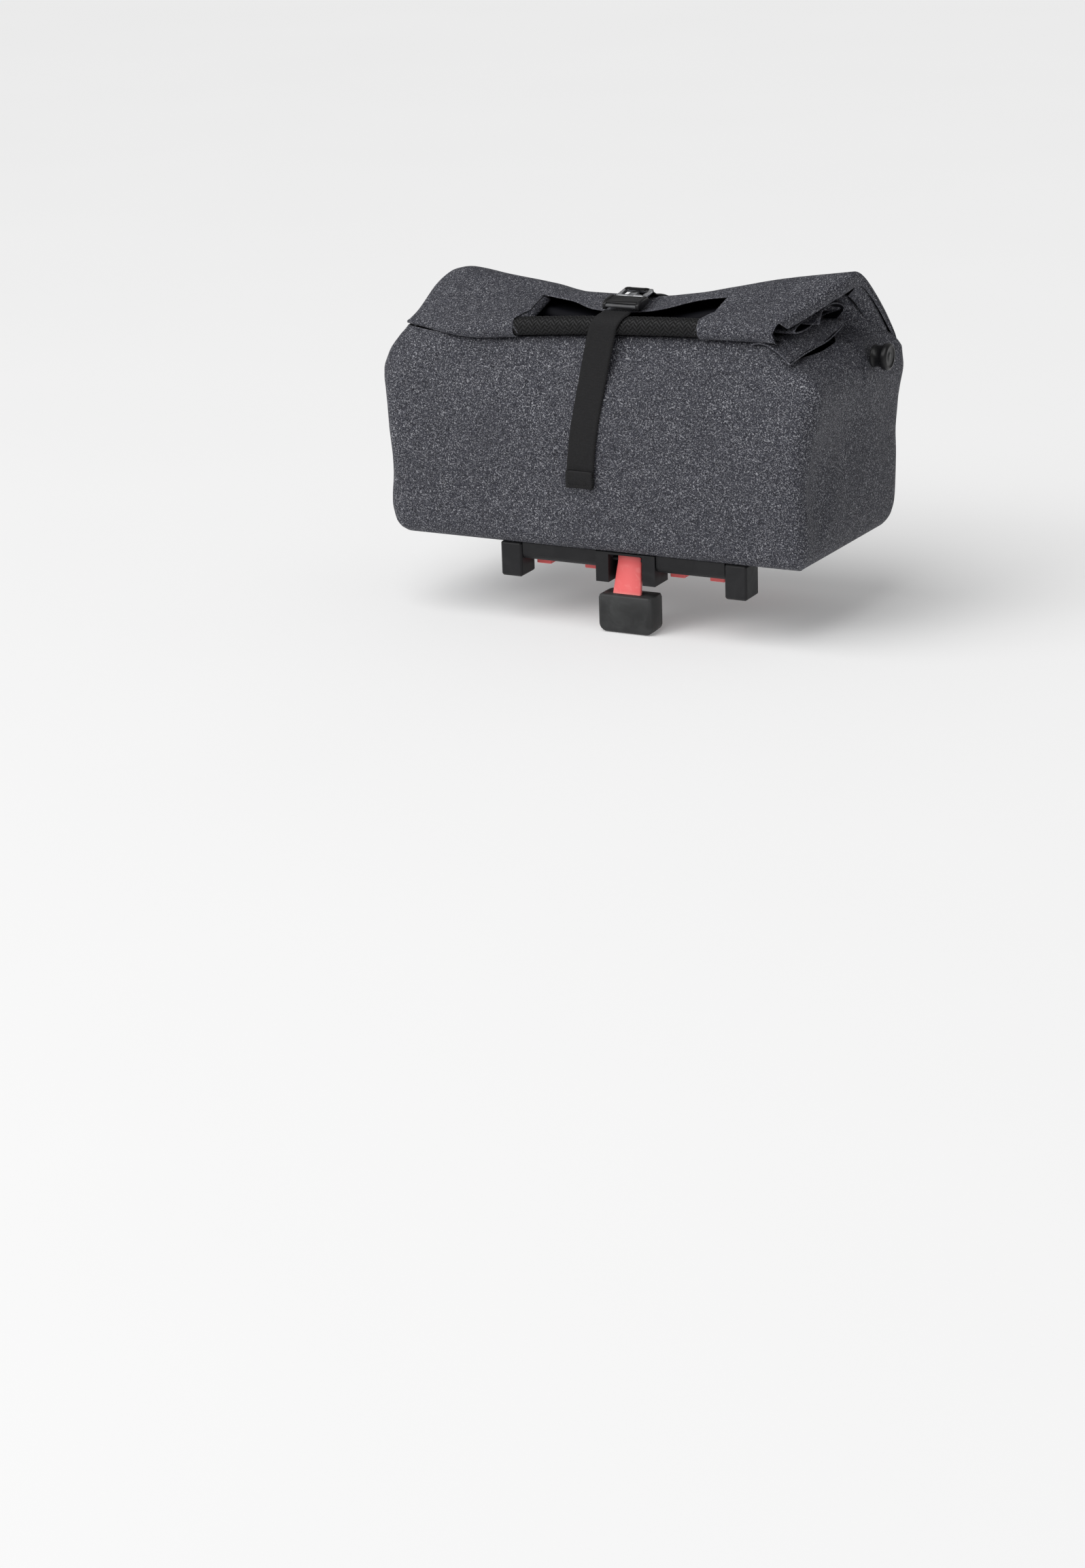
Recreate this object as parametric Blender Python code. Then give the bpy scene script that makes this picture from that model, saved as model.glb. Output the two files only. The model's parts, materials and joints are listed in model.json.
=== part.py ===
"""Roll-top rack bag standing on its clamp-on rack adapter.

Metres, +Z up. +X points to the rear of the bicycle, -Y to the side with the
strap and the release lever. The origin is the middle of the four pads that
sit on the two rack tubes, so everything above z = 0 stands on the tubes.
"""

import math

import bmesh
import bpy
from mathutils import Vector

# Fits
TOUCH = 0.0003          # gap between pieces that bear on each other
RUNNING = 0.0005        # head clearance of the lever in its housing
PIN_RUNNING = 0.00008   # radial clearance of the pin in its bores
CUT_PAST = 0.0020       # how far a cutter reaches past the faces it opens
SMALL_BEVEL = 0.0006    # edges of the small mouldings

# Rack that the adapter is made for
TUBE_SPACING = 0.098    # between the middles of the two rack tubes

# Adapter
PAD_HEIGHT = 0.0064
PAD_WIDTH = 0.013
PAD_LENGTH = 0.012
PAD_STATIONS = (-0.074, -0.034, 0.036, 0.068)
RAIL_HEIGHT = 0.0132
RAIL_WIDTH = 0.031
RAIL_LIP_RADIUS = 0.006
RAIL_SETBACK = 0.0015       # of the rails behind the faces of the legs
ADAPTER_WIDTH = 0.150   # over the faces of the legs
LEG_FRONT_X = -0.1000   # outer face of the front pair
LEG_REAR_X = 0.1000     # outer face of the rear pair
LEG_LENGTH = 0.0175
LEG_DEPTH = 0.0220
LEG_DROP = 0.0065       # below the top of the rack tubes
LEG_BEVEL = 0.0016
PLATE_THICKNESS = 0.0030
PLATE_OVERHANG = 0.0080

# Lever housing, release lever and grip
HOUSING_X = 0.0030
HOUSING_WIDTH = 0.0480
HOUSING_DEPTH = 0.0220
HOUSING_DROP = 0.0030
LEVER_TOP_WIDTH = 0.0190
LEVER_FOOT_WIDTH = 0.0226
LEVER_THICKNESS = 0.0036
LEVER_FOOT_Z = -0.0112
LEVER_LEAN = 0.0060     # how far the foot stands in front of the head
WINDOW_WIDTH = 0.0274
WINDOW_HEAD = 0.0016    # bar left above the lever window
WINDOW_DEPTH = 0.0150
GRIP_WIDTH = 0.0440
GRIP_HEIGHT = 0.0290
GRIP_DEPTH = 0.0200
GRIP_CORNER = 0.0060
GRIP_SHOULDER = 0.0030
PIN_RADIUS = 0.0015
PIN_DROP = 0.0050       # pin axis below the head of the window
PIN_BITE = 0.0060       # how deep the pin sits in each cheek
PIN_INSET = 0.0090      # pin axis behind the housing's face
GRIP_PROUD = 0.0020     # grip in front of the housing's face
GRIP_BEVEL = 0.0010

# Bag body
BAG_FRONT_X = -0.1970
BAG_REAR_X = 0.1575
BAG_DEPTH = 0.1680
BAG_SHIFT_Y = 0.0020
SHOULDER_HEIGHT = 0.1320    # of the back edge above the bag's floor
REAR_SKEW = 0.0055          # of the rear end: its near edge stands back
FABRIC = 0.0020
CORNER_RADII = (0.022, 0.009, 0.020, 0.024)   # front-near, rear-near, rear-far, front-far

# Rolled top
FLAP_FABRIC = 0.0012
HANDLE_RADIUS = 0.0064
ROLL_PROUD = 0.0035         # of the roll in front of the bag's near face
ROLL_END_INSET = (0.012, 0.010)     # straight part of the roll inside its two ends
HEM_HEIGHT_FRONT = SHOULDER_HEIGHT + 0.0175   # of the roll's lower edge above the floor, at its two ends
HEM_HEIGHT_REAR = SHOULDER_HEIGHT + 0.0325
ROLL_FRONT_X = -0.1390
ROLL_REAR_X = 0.1280
RIDGE_ROUND = 0.0060
WINDOW_LEFT_X = -0.0765
WINDOW_RIGHT_X = 0.0725
WINDOW_REACH = 0.0320       # of the hand opening behind the handle
HANDLE_TUCK = 0.0140        # of the handle inside the flap at each end
DENT = 0.0040               # of the flap under the buckle and the hook
DENT_LENGTH = 0.0350
DENT_REACH = 0.0220
INNER_DROP = 0.0070         # of the inner roll under the flap
INNER_BACK = 0.0300         # of its mouth behind the ridge
INNER_FRONT = 0.0320        # of its fold behind the handle's axis
INNER_RADIUS = 0.0045
GUSSET_DROP = 0.0041        # of the folded gussets under the flap
GUSSET_BACK = 0.0080        # of their rear edge behind the middle of the bag
GUSSET_FRONT = 0.0040       # of their front edge behind the roll
GUSSET_SINK = 0.0040        # of their outer edge under the rim of the end panel
GUSSET_WAVE = 0.0030        # of the fold between their two edges
GUSSET_INNER = 0.0035       # of their inner edges in front of the roll's ends
INNER_LAP = 0.0015          # of the inner roll under the gussets' inner edges
MOUTH_FRONT_REACH = (0.004, 0.022)  # where the rim drops to the open front end
MOUTH_REAR_REACH = (-0.008, 0.010)  # and to the open rear end, from the roll's ends
MOUTH_FRONT_DEPTH = 0.050   # of the open front end behind the near face
MOUTH_REAR_DEPTH = 0.018    # of the open rear end behind the middle of the bag
MOUTH_FRONT_HEIGHT = 0.0132     # of the rim there above the shoulder
MOUTH_REAR_HEIGHT = (0.01584, 0.0264)

# Strap and buckle
STRAP_WIDTH = 0.0210
STRAP_THICKNESS = 0.0016
STRAP_CLEAR = 0.0010        # over the rising handle
STRAP_FOOT_HEIGHT = 0.0500
STRAP_PATCH_HEIGHT = 0.0120
STRAP_FOOT_X = -0.0262
STRAP_HEAD_X = 0.0010
STRAP_DRIFT = 0.0060        # of the strap sideways as it turns over the handle
BUCKLE_WIDTH = 0.0290
BUCKLE_LENGTH = 0.0180
BUCKLE_HEIGHT = 0.0062
BUCKLE_SLOTS = ((-0.0055, -0.0015), (0.0015, 0.0055))
BUCKLE_SLOT_PLAY = 0.0015   # of the slots over the strap's width
BUCKLE_BAR_RADIUS = 0.0022
BUCKLE_REST = 0.0180        # middle of the buckle behind the handle's axis
HOOK_WIDTH = 0.0230
HOOK_LENGTH = 0.0165
HOOK_THICKNESS = 0.0028
HOOK_LIFT = 0.0024          # of the hook above the slope
HOOK_BAR = 0.0030
HOOK_EYE = 0.0045           # opening behind the hook's bar
HOOK_RIB = 0.0010           # in front of the middle, between its two openings
LOOP_WIDTH = 0.0160
LOOP_LENGTH = 0.0090

# Knob on the rear end panel
KNOB_Y = 0.0170
KNOB_HEIGHT = SHOULDER_HEIGHT + 0.0070
KNOB_HEAD_RADIUS = 0.0097
KNOB_WAIST_RADIUS = 0.0062
KNOB_FOOT_RADIUS = 0.0085
KNOB_REACH = 0.0130
KNOB_DOME = 0.0018

# Levels that follow from the sizes above
RAIL_BOTTOM = PAD_HEIGHT + TOUCH
ADAPTER_TOP = RAIL_BOTTOM + RAIL_HEIGHT
FLOOR_Z = ADAPTER_TOP + TOUCH
PIN_Y = -ADAPTER_WIDTH / 2 + PIN_INSET
PIN_Z = ADAPTER_TOP - WINDOW_HEAD - PIN_DROP
GRIP_Y = -ADAPTER_WIDTH / 2 - GRIP_PROUD
NEAR_Y = BAG_SHIFT_Y - BAG_DEPTH / 2
FAR_Y = BAG_SHIFT_Y + BAG_DEPTH / 2
BAG_LENGTH = BAG_REAR_X - BAG_FRONT_X
ROLL_RADIUS = HANDLE_RADIUS + TOUCH + FLAP_FABRIC
ROLL_Y = NEAR_Y + ROLL_RADIUS - ROLL_PROUD
BACK_EDGE_Z = FLOOR_Z + SHOULDER_HEIGHT

# How far the walls stand inside the plan outline, as shares of the bag's depth.
# Columns: share of the shoulder height, front end, rear end, near and far panels.
WALL_SECTIONS = (
    (0.000, 0.090, 0.085, 0.055),
    (0.025, 0.050, 0.048, 0.022),
    (0.065, 0.020, 0.026, 0.006),
    (0.150, 0.000, 0.012, 0.000),
    (0.290, 0.003, 0.009, -0.009),
    (0.490, 0.016, 0.006, -0.020),
    (0.690, 0.026, -0.006, -0.024),
    (0.820, 0.006, -0.022, -0.018),
    (0.930, -0.006, -0.036, -0.009),
    (1.010, 0.018, -0.030, 0.004),
    (1.090, 0.066, -0.010, 0.012),
    (1.180, 0.130, 0.024, 0.022),
    (1.440, 0.180, 0.090, 0.040),
)

# The ridge of the roll. Columns: share of the bag's length from the front end,
# height above the floor as a share of the shoulder height, place in y as a
# share of the bag's depth from its middle.
RIDGE_SECTIONS = (
    (0.000, 1.130, -0.220),
    (0.048, 1.230, -0.200),
    (0.072, 1.370, -0.140),
    (0.096, 1.428, -0.090),
    (0.140, 1.450, -0.100),
    (0.230, 1.430, -0.130),
    (0.340, 1.400, -0.150),
    (0.420, 1.366, -0.150),
    (0.560, 1.372, -0.150),
    (0.680, 1.405, -0.150),
    (0.760, 1.450, -0.140),
    (0.860, 1.500, -0.100),
    (0.940, 1.525, -0.050),
    (1.000, 1.540, -0.010),
)

# Ends of the flap. Columns: share of the way from the back edge to the roll's
# front edge, front end and rear end inside the bag's length, as shares of it.
FLAP_ENDS = (
    (0.00, 0.052, 0.040),
    (0.07, 0.022, 0.012),
    (0.30, 0.055, 0.004),
    (0.58, 0.094, 0.012),
    (0.70, 0.068, 0.032),
    (0.86, 0.048, 0.062),
    (0.95, 0.112, 0.078),
    (1.00, 0.163, 0.086),
)


def interpolate(table, key, column):
    """Value of a table's column at key, eased between the two rows around it."""
    if key <= table[0][0]:
        return table[0][column]
    for low, high in zip(table, table[1:]):
        if key <= high[0]:
            share = (key - low[0]) / (high[0] - low[0])
            share = share * share * (3 - 2 * share)
            return low[column] + (high[column] - low[column]) * share
    return table[-1][column]


def lerp(a, b, share):
    """Value between a and b."""
    return a + (b - a) * share


def eased(value, low, high):
    """0 below low, 1 above high and a smooth step between them."""
    share = min(1.0, max(0.0, (value - low) / (high - low)))
    return share * share * (3 - 2 * share)


def linked(mesh, name, finish):
    """Put a mesh into the scene as one named object with its own material."""
    colour, roughness, metallic = finish
    work = bmesh.new()
    work.from_mesh(mesh)
    bmesh.ops.recalc_face_normals(work, faces=work.faces)
    work.to_mesh(mesh)
    work.free()
    mesh.shade_smooth()
    mesh.set_sharp_from_angle(angle=math.radians(40))
    material = bpy.data.materials.new(name)
    material.use_nodes = True
    shader = material.node_tree.nodes["Principled BSDF"]
    shader.inputs["Base Color"].default_value = (*colour, 1.0)
    shader.inputs["Roughness"].default_value = roughness
    shader.inputs["Metallic"].default_value = metallic
    mesh.materials.append(material)
    made = bpy.data.objects.new(name, mesh)
    bpy.context.scene.collection.objects.link(made)
    return made


def mesh_from(name, points, faces):
    """Mesh of a list of points and faces."""
    mesh = bpy.data.meshes.new(name)
    mesh.from_pydata([tuple(point) for point in points], [], faces)
    mesh.update()
    return mesh


def lofted(name, rings, finish):
    """Closed solid through rings of points, with a flat cap at both ends."""
    count = len(rings[0])
    points = [point for ring in rings for point in ring]
    faces = []
    for row in range(len(rings) - 1):
        for column in range(count):
            after = (column + 1) % count
            faces.append((row * count + column, row * count + after,
                          (row + 1) * count + after, (row + 1) * count + column))
    faces.append(tuple(reversed(range(count))))
    faces.append(tuple(range((len(rings) - 1) * count, len(rings) * count)))
    return linked(mesh_from(name, points, faces), name, finish)


def thick_sheet(name, rows, wall, finish, kept=None):
    """Closed sheet of even thickness behind a grid of points.

    kept(row, column) says which cells of the grid are cloth; the rest are cut
    away, and their rims are closed as the outer edges are.
    """
    height, width = len(rows), len(rows[0])
    front, back = [], []
    for row in range(height):
        for column in range(width):
            along = rows[row][min(column + 1, width - 1)] - rows[row][max(column - 1, 0)]
            across = rows[min(row + 1, height - 1)][column] - rows[max(row - 1, 0)][column]
            normal = along.cross(across).normalized()
            front.append(rows[row][column])
            back.append(rows[row][column] - normal * wall)
    offset = len(front)
    faces, edges = [], {}
    for row in range(height - 1):
        for column in range(width - 1):
            if kept and not kept(row, column):
                continue
            corner = row * width + column
            cell = (corner, corner + 1, corner + width + 1, corner + width)
            faces.append(cell)
            faces.append(tuple(offset + index for index in reversed(cell)))
            for start, end in zip(cell, cell[1:] + cell[:1]):
                edges[(start, end)] = True
    for start, end in edges:
        if (end, start) not in edges:
            faces.append((start, offset + start, offset + end, end))
    mesh = mesh_from(name, front + back, faces)
    work = bmesh.new()
    work.from_mesh(mesh)
    bmesh.ops.delete(work, geom=[v for v in work.verts if not v.link_faces], context="VERTS")
    work.to_mesh(mesh)
    work.free()
    return linked(mesh, name, finish)


def softened(made, width):
    """Round a piece's sharp edges."""
    edge = made.modifiers.new("edge", "BEVEL")
    edge.width = width
    edge.segments = 2
    edge.limit_method = "ANGLE"
    edge.angle_limit = math.radians(50)


def extruded(name, outline, along, low, high, finish, bevel=0.0):
    """Prism of a closed outline, drawn in the plane square to axis x, y or z."""
    place = {
        "x": lambda a, b, c: (c, a, b),
        "y": lambda a, b, c: (a, c, b),
        "z": lambda a, b, c: (a, b, c),
    }[along]
    rings = [[Vector(place(a, b, level)) for a, b in outline] for level in (low, high)]
    made = lofted(name, rings, finish)
    if bevel:
        softened(made, bevel)
    return made


def box_outline(low_a, high_a, low_b, high_b):
    """Four corners of a rectangle."""
    return [(low_a, low_b), (high_a, low_b), (high_a, high_b), (low_a, high_b)]


def arc(centre, radius, first, last, steps):
    """Points of an arc in degrees, both ends included."""
    angles = [math.radians(lerp(first, last, step / steps)) for step in range(steps + 1)]
    return [(centre[0] + radius * math.cos(a), centre[1] + radius * math.sin(a)) for a in angles]


def cut(target, cutter):
    """Take one solid out of another; the cutter stays in the file as a guide."""
    cutter.hide_render = True
    cutter.display_type = "WIRE"
    step = target.modifiers.new("cut " + cutter.name, "BOOLEAN")
    step.operation = "DIFFERENCE"
    step.solver = "EXACT"
    step.object = cutter


CLOTH = ((0.070, 0.074, 0.095), 0.75, 0.0)
WEBBING = ((0.012, 0.012, 0.013), 0.80, 0.0)
BRAID = ((0.010, 0.010, 0.011), 0.65, 0.0)
PLASTIC = ((0.018, 0.018, 0.020), 0.45, 0.0)
RED_PLASTIC = ((0.62, 0.030, 0.040), 0.40, 0.0)
GREY_PLASTIC = ((0.35, 0.36, 0.38), 0.40, 0.0)
METAL = ((0.60, 0.61, 0.63), 0.35, 1.0)


def hem_z(x):
    """Height of the roll's lower front edge."""
    share = min(1.0, max(-0.20, (x - ROLL_FRONT_X) / (ROLL_REAR_X - ROLL_FRONT_X)))
    rise = 1 - (1 - share) ** 2
    return FLOOR_Z + lerp(HEM_HEIGHT_FRONT, HEM_HEIGHT_REAR, rise)


def ridge(x):
    """Place in y and height of the roll's ridge."""
    share = (x - BAG_FRONT_X) / BAG_LENGTH
    height = FLOOR_Z + SHOULDER_HEIGHT * interpolate(RIDGE_SECTIONS, share, 1)
    return BAG_SHIFT_Y + BAG_DEPTH * interpolate(RIDGE_SECTIONS, share, 2), height


def roll_centre_z(x):
    """Height of the handle's axis inside the roll."""
    return hem_z(x) + ROLL_RADIUS


def front_slope(x):
    """Slope of the flap between the roll and the ridge."""
    ridge_y, ridge_z = ridge(x)
    top = roll_centre_z(x) + ROLL_RADIUS * 0.85
    return (ridge_z + RIDGE_ROUND * 0.7 - top) / (ridge_y - ROLL_Y + ROLL_RADIUS * 0.5)


def roof_z(x, y):
    """Height of the closed top: two slopes that meet in a rounded ridge."""
    ridge_y, ridge_z = ridge(x)
    peak = ridge_z + RIDGE_ROUND * 0.7
    near = peak - front_slope(x) * (ridge_y - y)
    far = peak - (peak - BACK_EDGE_Z) * (y - ridge_y) / (FAR_Y - ridge_y)
    across = (x - STRAP_HEAD_X) / DENT_LENGTH
    behind = (y - ROLL_Y - WINDOW_REACH) / DENT_REACH
    dent = DENT * math.exp(-across * across - behind * behind)
    near, far = near - dent, far - dent
    low = min(near, far)
    both = math.exp((low - near) / RIDGE_ROUND) + math.exp((low - far) / RIDGE_ROUND)
    return low - RIDGE_ROUND * math.log(both)


def rim_z(x, y):
    """Top edge of the bag's walls, just under the flap and the roll."""
    under_roof = roof_z(x, y) - FLAP_FABRIC * 1.7 - FABRIC * 0.8 - TOUCH
    under_roll = hem_z(x) - TOUCH
    height = lerp(under_roll, under_roof, eased(y, ROLL_Y + ROLL_RADIUS, ROLL_Y + ROLL_RADIUS * 4))
    pocket_z = BACK_EDGE_Z + lerp(*MOUTH_REAR_HEIGHT, eased(y, NEAR_Y, BAG_SHIFT_Y))
    rear_end = eased(x - ROLL_REAR_X, *MOUTH_REAR_REACH)
    rear_end *= 1 - eased(y - BAG_SHIFT_Y, 0, MOUTH_REAR_DEPTH)
    front_end = eased(ROLL_FRONT_X - x, *MOUTH_FRONT_REACH)
    front_end *= 1 - eased(y - NEAR_Y, 0, MOUTH_FRONT_DEPTH)
    height = min(height, lerp(height, pocket_z, rear_end))
    return min(height, lerp(height, BACK_EDGE_Z + MOUTH_FRONT_HEIGHT, front_end))


def plan_outline():
    """Points and outward normals of the bag's plan outline, counter-clockwise."""
    near_front, near_rear, far_rear, far_front = CORNER_RADII
    corners = (
        (BAG_FRONT_X + near_front, NEAR_Y + near_front, near_front, 180),
        (BAG_REAR_X - near_rear - REAR_SKEW, NEAR_Y + near_rear, near_rear, 270),
        (BAG_REAR_X - far_rear, FAR_Y - far_rear, far_rear, 0),
        (BAG_FRONT_X + far_front, FAR_Y - far_front, far_front, 90),
    )
    side_steps = (18, 9, 18, 9)
    outline = []
    for index, (x, y, radius, start) in enumerate(corners):
        for step in range(5):
            angle = math.radians(start + 90 * step / 4)
            normal = Vector((math.cos(angle), math.sin(angle), 0))
            outline.append((Vector((x, y, 0)) + normal * radius, normal))
        after = corners[(index + 1) % 4]
        angle = math.radians(start + 90)
        normal = Vector((math.cos(angle), math.sin(angle), 0))
        first = Vector((x, y, 0)) + normal * radius
        last = Vector((after[0], after[1], 0)) + normal * after[2]
        for step in range(1, side_steps[index]):
            outline.append((first.lerp(last, step / side_steps[index]), normal))
    return outline


def wall_inset(height, normal):
    """How far the wall stands inside the plan outline at a height above the floor."""
    share = height / SHOULDER_HEIGHT
    front, rear, side = (interpolate(WALL_SECTIONS, share, column) for column in (1, 2, 3))
    end = front if normal.x < 0 else rear
    return BAG_DEPTH * (end * normal.x ** 2 + side * normal.y ** 2)


def bag_body():
    """Open-mouthed bag: one wall of cloth around a hollow, with its floor."""
    outline = plan_outline()
    outer_levels = (0.0, 0.012, 0.035, 0.08, 0.16, 0.28, 0.40, 0.52, 0.64, 0.75, 0.85, 0.93, 1.0)
    inner_levels = (1.0, 0.93, 0.85, 0.75, 0.60, 0.45, 0.30, 0.16, 0.07, 0.0)
    rings = []
    for levels, wall in ((outer_levels, 0.0), (inner_levels, FABRIC)):
        for level in levels:
            ring = []
            for point, normal in outline:
                top = rim_z(point.x, point.y)
                for _ in range(3):
                    lean = point - normal * wall_inset(top - FLOOR_Z, normal)
                    top = rim_z(lean.x, lean.y)
                low = FLOOR_Z + wall
                z = lerp(low, top, level)
                inset = wall_inset(z - FLOOR_Z, normal) + wall
                ring.append(Vector((point.x, point.y, z)) - normal * inset)
            rings.append(ring)
    return lofted("bag_body", rings, CLOTH)


def flap_stations(y_share):
    """Places along the bag of one row of the flap, from the front end to the rear."""
    ends = (interpolate(FLAP_ENDS, y_share, 1), interpolate(FLAP_ENDS, y_share, 2))
    first = BAG_FRONT_X + BAG_LENGTH * ends[0]
    last = BAG_REAR_X - BAG_LENGTH * ends[1]
    inner_first = ROLL_FRONT_X + ROLL_END_INSET[0]
    inner_last = ROLL_REAR_X - ROLL_END_INSET[1]
    stations = [lerp(first, inner_first, step / 3) for step in range(3)]
    stations += [lerp(inner_first, WINDOW_LEFT_X, step / 3) for step in range(3)]
    stations += [lerp(WINDOW_LEFT_X, WINDOW_RIGHT_X, step / 10) for step in range(10)]
    stations += [lerp(WINDOW_RIGHT_X, inner_last, step / 3) for step in range(3)]
    stations += [lerp(inner_last, last, step / 3) for step in range(4)]
    return stations


def rolled_flap():
    """Closed top: up the back, over the ridge, down and around the handle."""
    rows = []
    back_y = FAR_Y - FABRIC / 2
    front_y = ROLL_Y - ROLL_RADIUS * 0.5
    edge = (back_y - ROLL_Y - WINDOW_REACH) / (back_y - front_y)
    shares = [0.0, 0.03, 0.07] + [lerp(0.14, edge, step / 11) for step in range(12)]
    shares += [lerp(edge, 0.94, step / 3) for step in range(1, 4)]
    for share in shares:
        y = lerp(back_y, front_y, share)
        rows.append([Vector((x, y, roof_z(x, y))) for x in flap_stations(share)])
    window_row = len(rows) - 4
    for step in range(10):
        share = lerp(0.96, 1.0, min(1.0, step / 3))
        row = []
        for x in flap_stations(share):
            lean = math.degrees(math.atan(front_slope(x)))
            angle = math.radians(lerp(90 + lean, 285, step / 9))
            y = ROLL_Y + ROLL_RADIUS * math.cos(angle)
            row.append(Vector((x, y, roll_centre_z(x) + ROLL_RADIUS * math.sin(angle))))
        rows.append(row)
    for row in rows:
        row.reverse()
    last = len(rows[0]) - 2

    def kept(row, column):
        """Cells that are cloth: all but the hand opening over the handle."""
        return not (row >= window_row and 6 <= last - column < 16)

    thick_sheet("rolled_flap", rows, FLAP_FABRIC, CLOTH, kept)


def handle_braid():
    """Padded grab handle in a braided cover, held in the roll at both ends."""
    first = WINDOW_LEFT_X - HANDLE_TUCK
    last = WINDOW_RIGHT_X + HANDLE_TUCK
    rings = []
    for step in range(13):
        x = lerp(first, last, step / 12)
        centre = (ROLL_Y, roll_centre_z(x))
        rings.append([Vector((x, y, z)) for y, z in arc(centre, HANDLE_RADIUS, 0, 360, 16)[:-1]])
    return lofted("handle_braid", rings, BRAID)


def inner_roll():
    """Folded end of the bag's mouth, rolled up under the flap."""
    first = ROLL_FRONT_X - GUSSET_INNER - INNER_LAP
    last = ROLL_REAR_X - GUSSET_INNER + INNER_LAP
    stations = [lerp(first, last, step / 14) for step in range(15)]
    top_run = [("top", step / 4) for step in range(5)]
    bend = [("bend", step / 5) for step in range(1, 5)]
    under_run = [("under", step / 3) for step in range(4)]
    front = ROLL_Y + INNER_FRONT
    rows = []
    for run, share in top_run + bend + under_run:
        row = []
        for x in stations:
            back = ridge(x)[0] + INNER_BACK
            top = roof_z(x, front) - INNER_DROP
            if run == "top":
                y = lerp(back, front, share)
                z = min(top, roof_z(x, y) - INNER_DROP)
            elif run == "bend":
                angle = math.radians(90 + 180 * share)
                y = front + INNER_RADIUS * math.cos(angle)
                z = top - INNER_RADIUS + INNER_RADIUS * math.sin(angle)
            else:
                y = lerp(front, back - 2 * INNER_RADIUS, share)
                z = top - 2 * INNER_RADIUS
            row.append(Vector((x, y, z)))
        row.reverse()
        rows.append(row)
    thick_sheet("inner_roll", rows, FABRIC, CLOTH)


def gusset_folds():
    """Ends of the mouth: the end panels' cloth folded in under the roll."""
    for end, wall_x, inner_x in (
        ("front", BAG_FRONT_X, ROLL_FRONT_X - GUSSET_INNER),
        ("rear", BAG_REAR_X - REAR_SKEW, ROLL_REAR_X - GUSSET_INNER),
    ):
        outward = Vector((math.copysign(1, wall_x), 0, 0))
        rows = []
        for along in range(9):
            y = lerp(ROLL_Y + ROLL_RADIUS + GUSSET_FRONT, BAG_SHIFT_Y + GUSSET_BACK, along / 8)
            edge = wall_x
            for _ in range(3):
                inset = wall_inset(rim_z(edge, y) - FLOOR_Z, outward)
                edge = wall_x - outward.x * (inset + FABRIC + 3 * TOUCH)
            row = []
            for step in range(7):
                share = step / 6
                x = lerp(edge, inner_x, share)
                low = rim_z(edge, y) - GUSSET_SINK
                high = roof_z(x, y) - GUSSET_DROP
                fold = GUSSET_WAVE * math.sin(math.pi * 2 * share)
                row.append(Vector((x, y, min(high, lerp(low, high, share) - fold))))
            if end == "front":
                row.reverse()
            rows.append(row)
        thick_sheet(f"gusset_fold_{end}", rows, FLAP_FABRIC, CLOTH)


def strap_path():
    """Outer line of the strap from its sewn foot over the handle to the buckle."""
    foot_z = FLOOR_Z + STRAP_FOOT_HEIGHT
    reach = HANDLE_RADIUS + STRAP_THICKNESS + STRAP_CLEAR
    path = []
    for step in range(11):
        share = step / 10
        x = lerp(STRAP_FOOT_X, STRAP_HEAD_X - STRAP_DRIFT, share ** 1.5)
        z = lerp(foot_z, roll_centre_z(x), share)
        inset = wall_inset(z - FLOOR_Z, Vector((0, -1, 0)))
        on_panel = NEAR_Y + inset - STRAP_THICKNESS - TOUCH
        path.append(Vector((x, lerp(on_panel, ROLL_Y - reach, eased(share, 0.10, 1.0)), z)))
    lean = math.degrees(math.atan(front_slope(STRAP_HEAD_X)))
    for step in range(1, 5):
        turn = math.radians(lerp(180, 90 + lean, step / 4))
        x = lerp(STRAP_HEAD_X - STRAP_DRIFT, STRAP_HEAD_X, step / 4)
        path.append(Vector((x, ROLL_Y + reach * math.cos(turn), roll_centre_z(x) + reach * math.sin(turn))))
    place, slope = closure_frame(-BUCKLE_LENGTH / 2 - 2 * BUCKLE_BAR_RADIUS - 2 * TOUCH)
    path.append(place + Vector((0, -math.sin(slope), math.cos(slope))) * STRAP_THICKNESS)
    return path


def front_strap():
    """Webbing strap from the front panel over the handle to the buckle."""
    rows = []
    for point in strap_path():
        half = Vector((STRAP_WIDTH / 2, 0, 0))
        rows.append([point - half, point, point + half])
    thick_sheet("front_strap", rows, STRAP_THICKNESS, WEBBING)
    patch_top = FLOOR_Z + STRAP_FOOT_HEIGHT + 2 * STRAP_PATCH_HEIGHT
    over = Vector((0, -STRAP_THICKNESS - TOUCH, 0))
    patch = [[point + over for point in row] for row in rows if row[1].z < patch_top]
    thick_sheet("strap_foot", patch, STRAP_THICKNESS, WEBBING)


def closure_frame(reach):
    """Place behind the handle's top, reach metres up the slope from the buckle's middle."""
    slope = math.atan(front_slope(STRAP_HEAD_X))
    along = BUCKLE_REST / math.cos(slope) + reach
    top = roll_centre_z(STRAP_HEAD_X) + HANDLE_RADIUS / math.cos(slope) + STRAP_CLEAR
    place = Vector((STRAP_HEAD_X, ROLL_Y + along * math.cos(slope), top + along * math.sin(slope)))
    return place, slope


def on_closure(made, reach):
    """Set a piece down on the flap's slope."""
    place, slope = closure_frame(reach)
    made.location = place
    made.rotation_euler = (slope, 0, 0)
    return made


def slotted_plate(name, width, length, low, high, slots, finish, reach):
    """Plate on the flap's slope with slots across it, each (width, from, to)."""
    outline = box_outline(-width / 2, width / 2, -length / 2, length / 2)
    plate = on_closure(extruded(name, outline, "z", low, high, finish), reach)
    for index, (slot_width, first, last) in enumerate(slots):
        opening = box_outline(-slot_width / 2, slot_width / 2, first, last)
        cutter = extruded(f"{name}_slot_{index}", opening, "z", low - CUT_PAST, high + CUT_PAST, finish)
        cut(plate, on_closure(cutter, reach))
    softened(plate, SMALL_BEVEL)
    return plate


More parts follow.
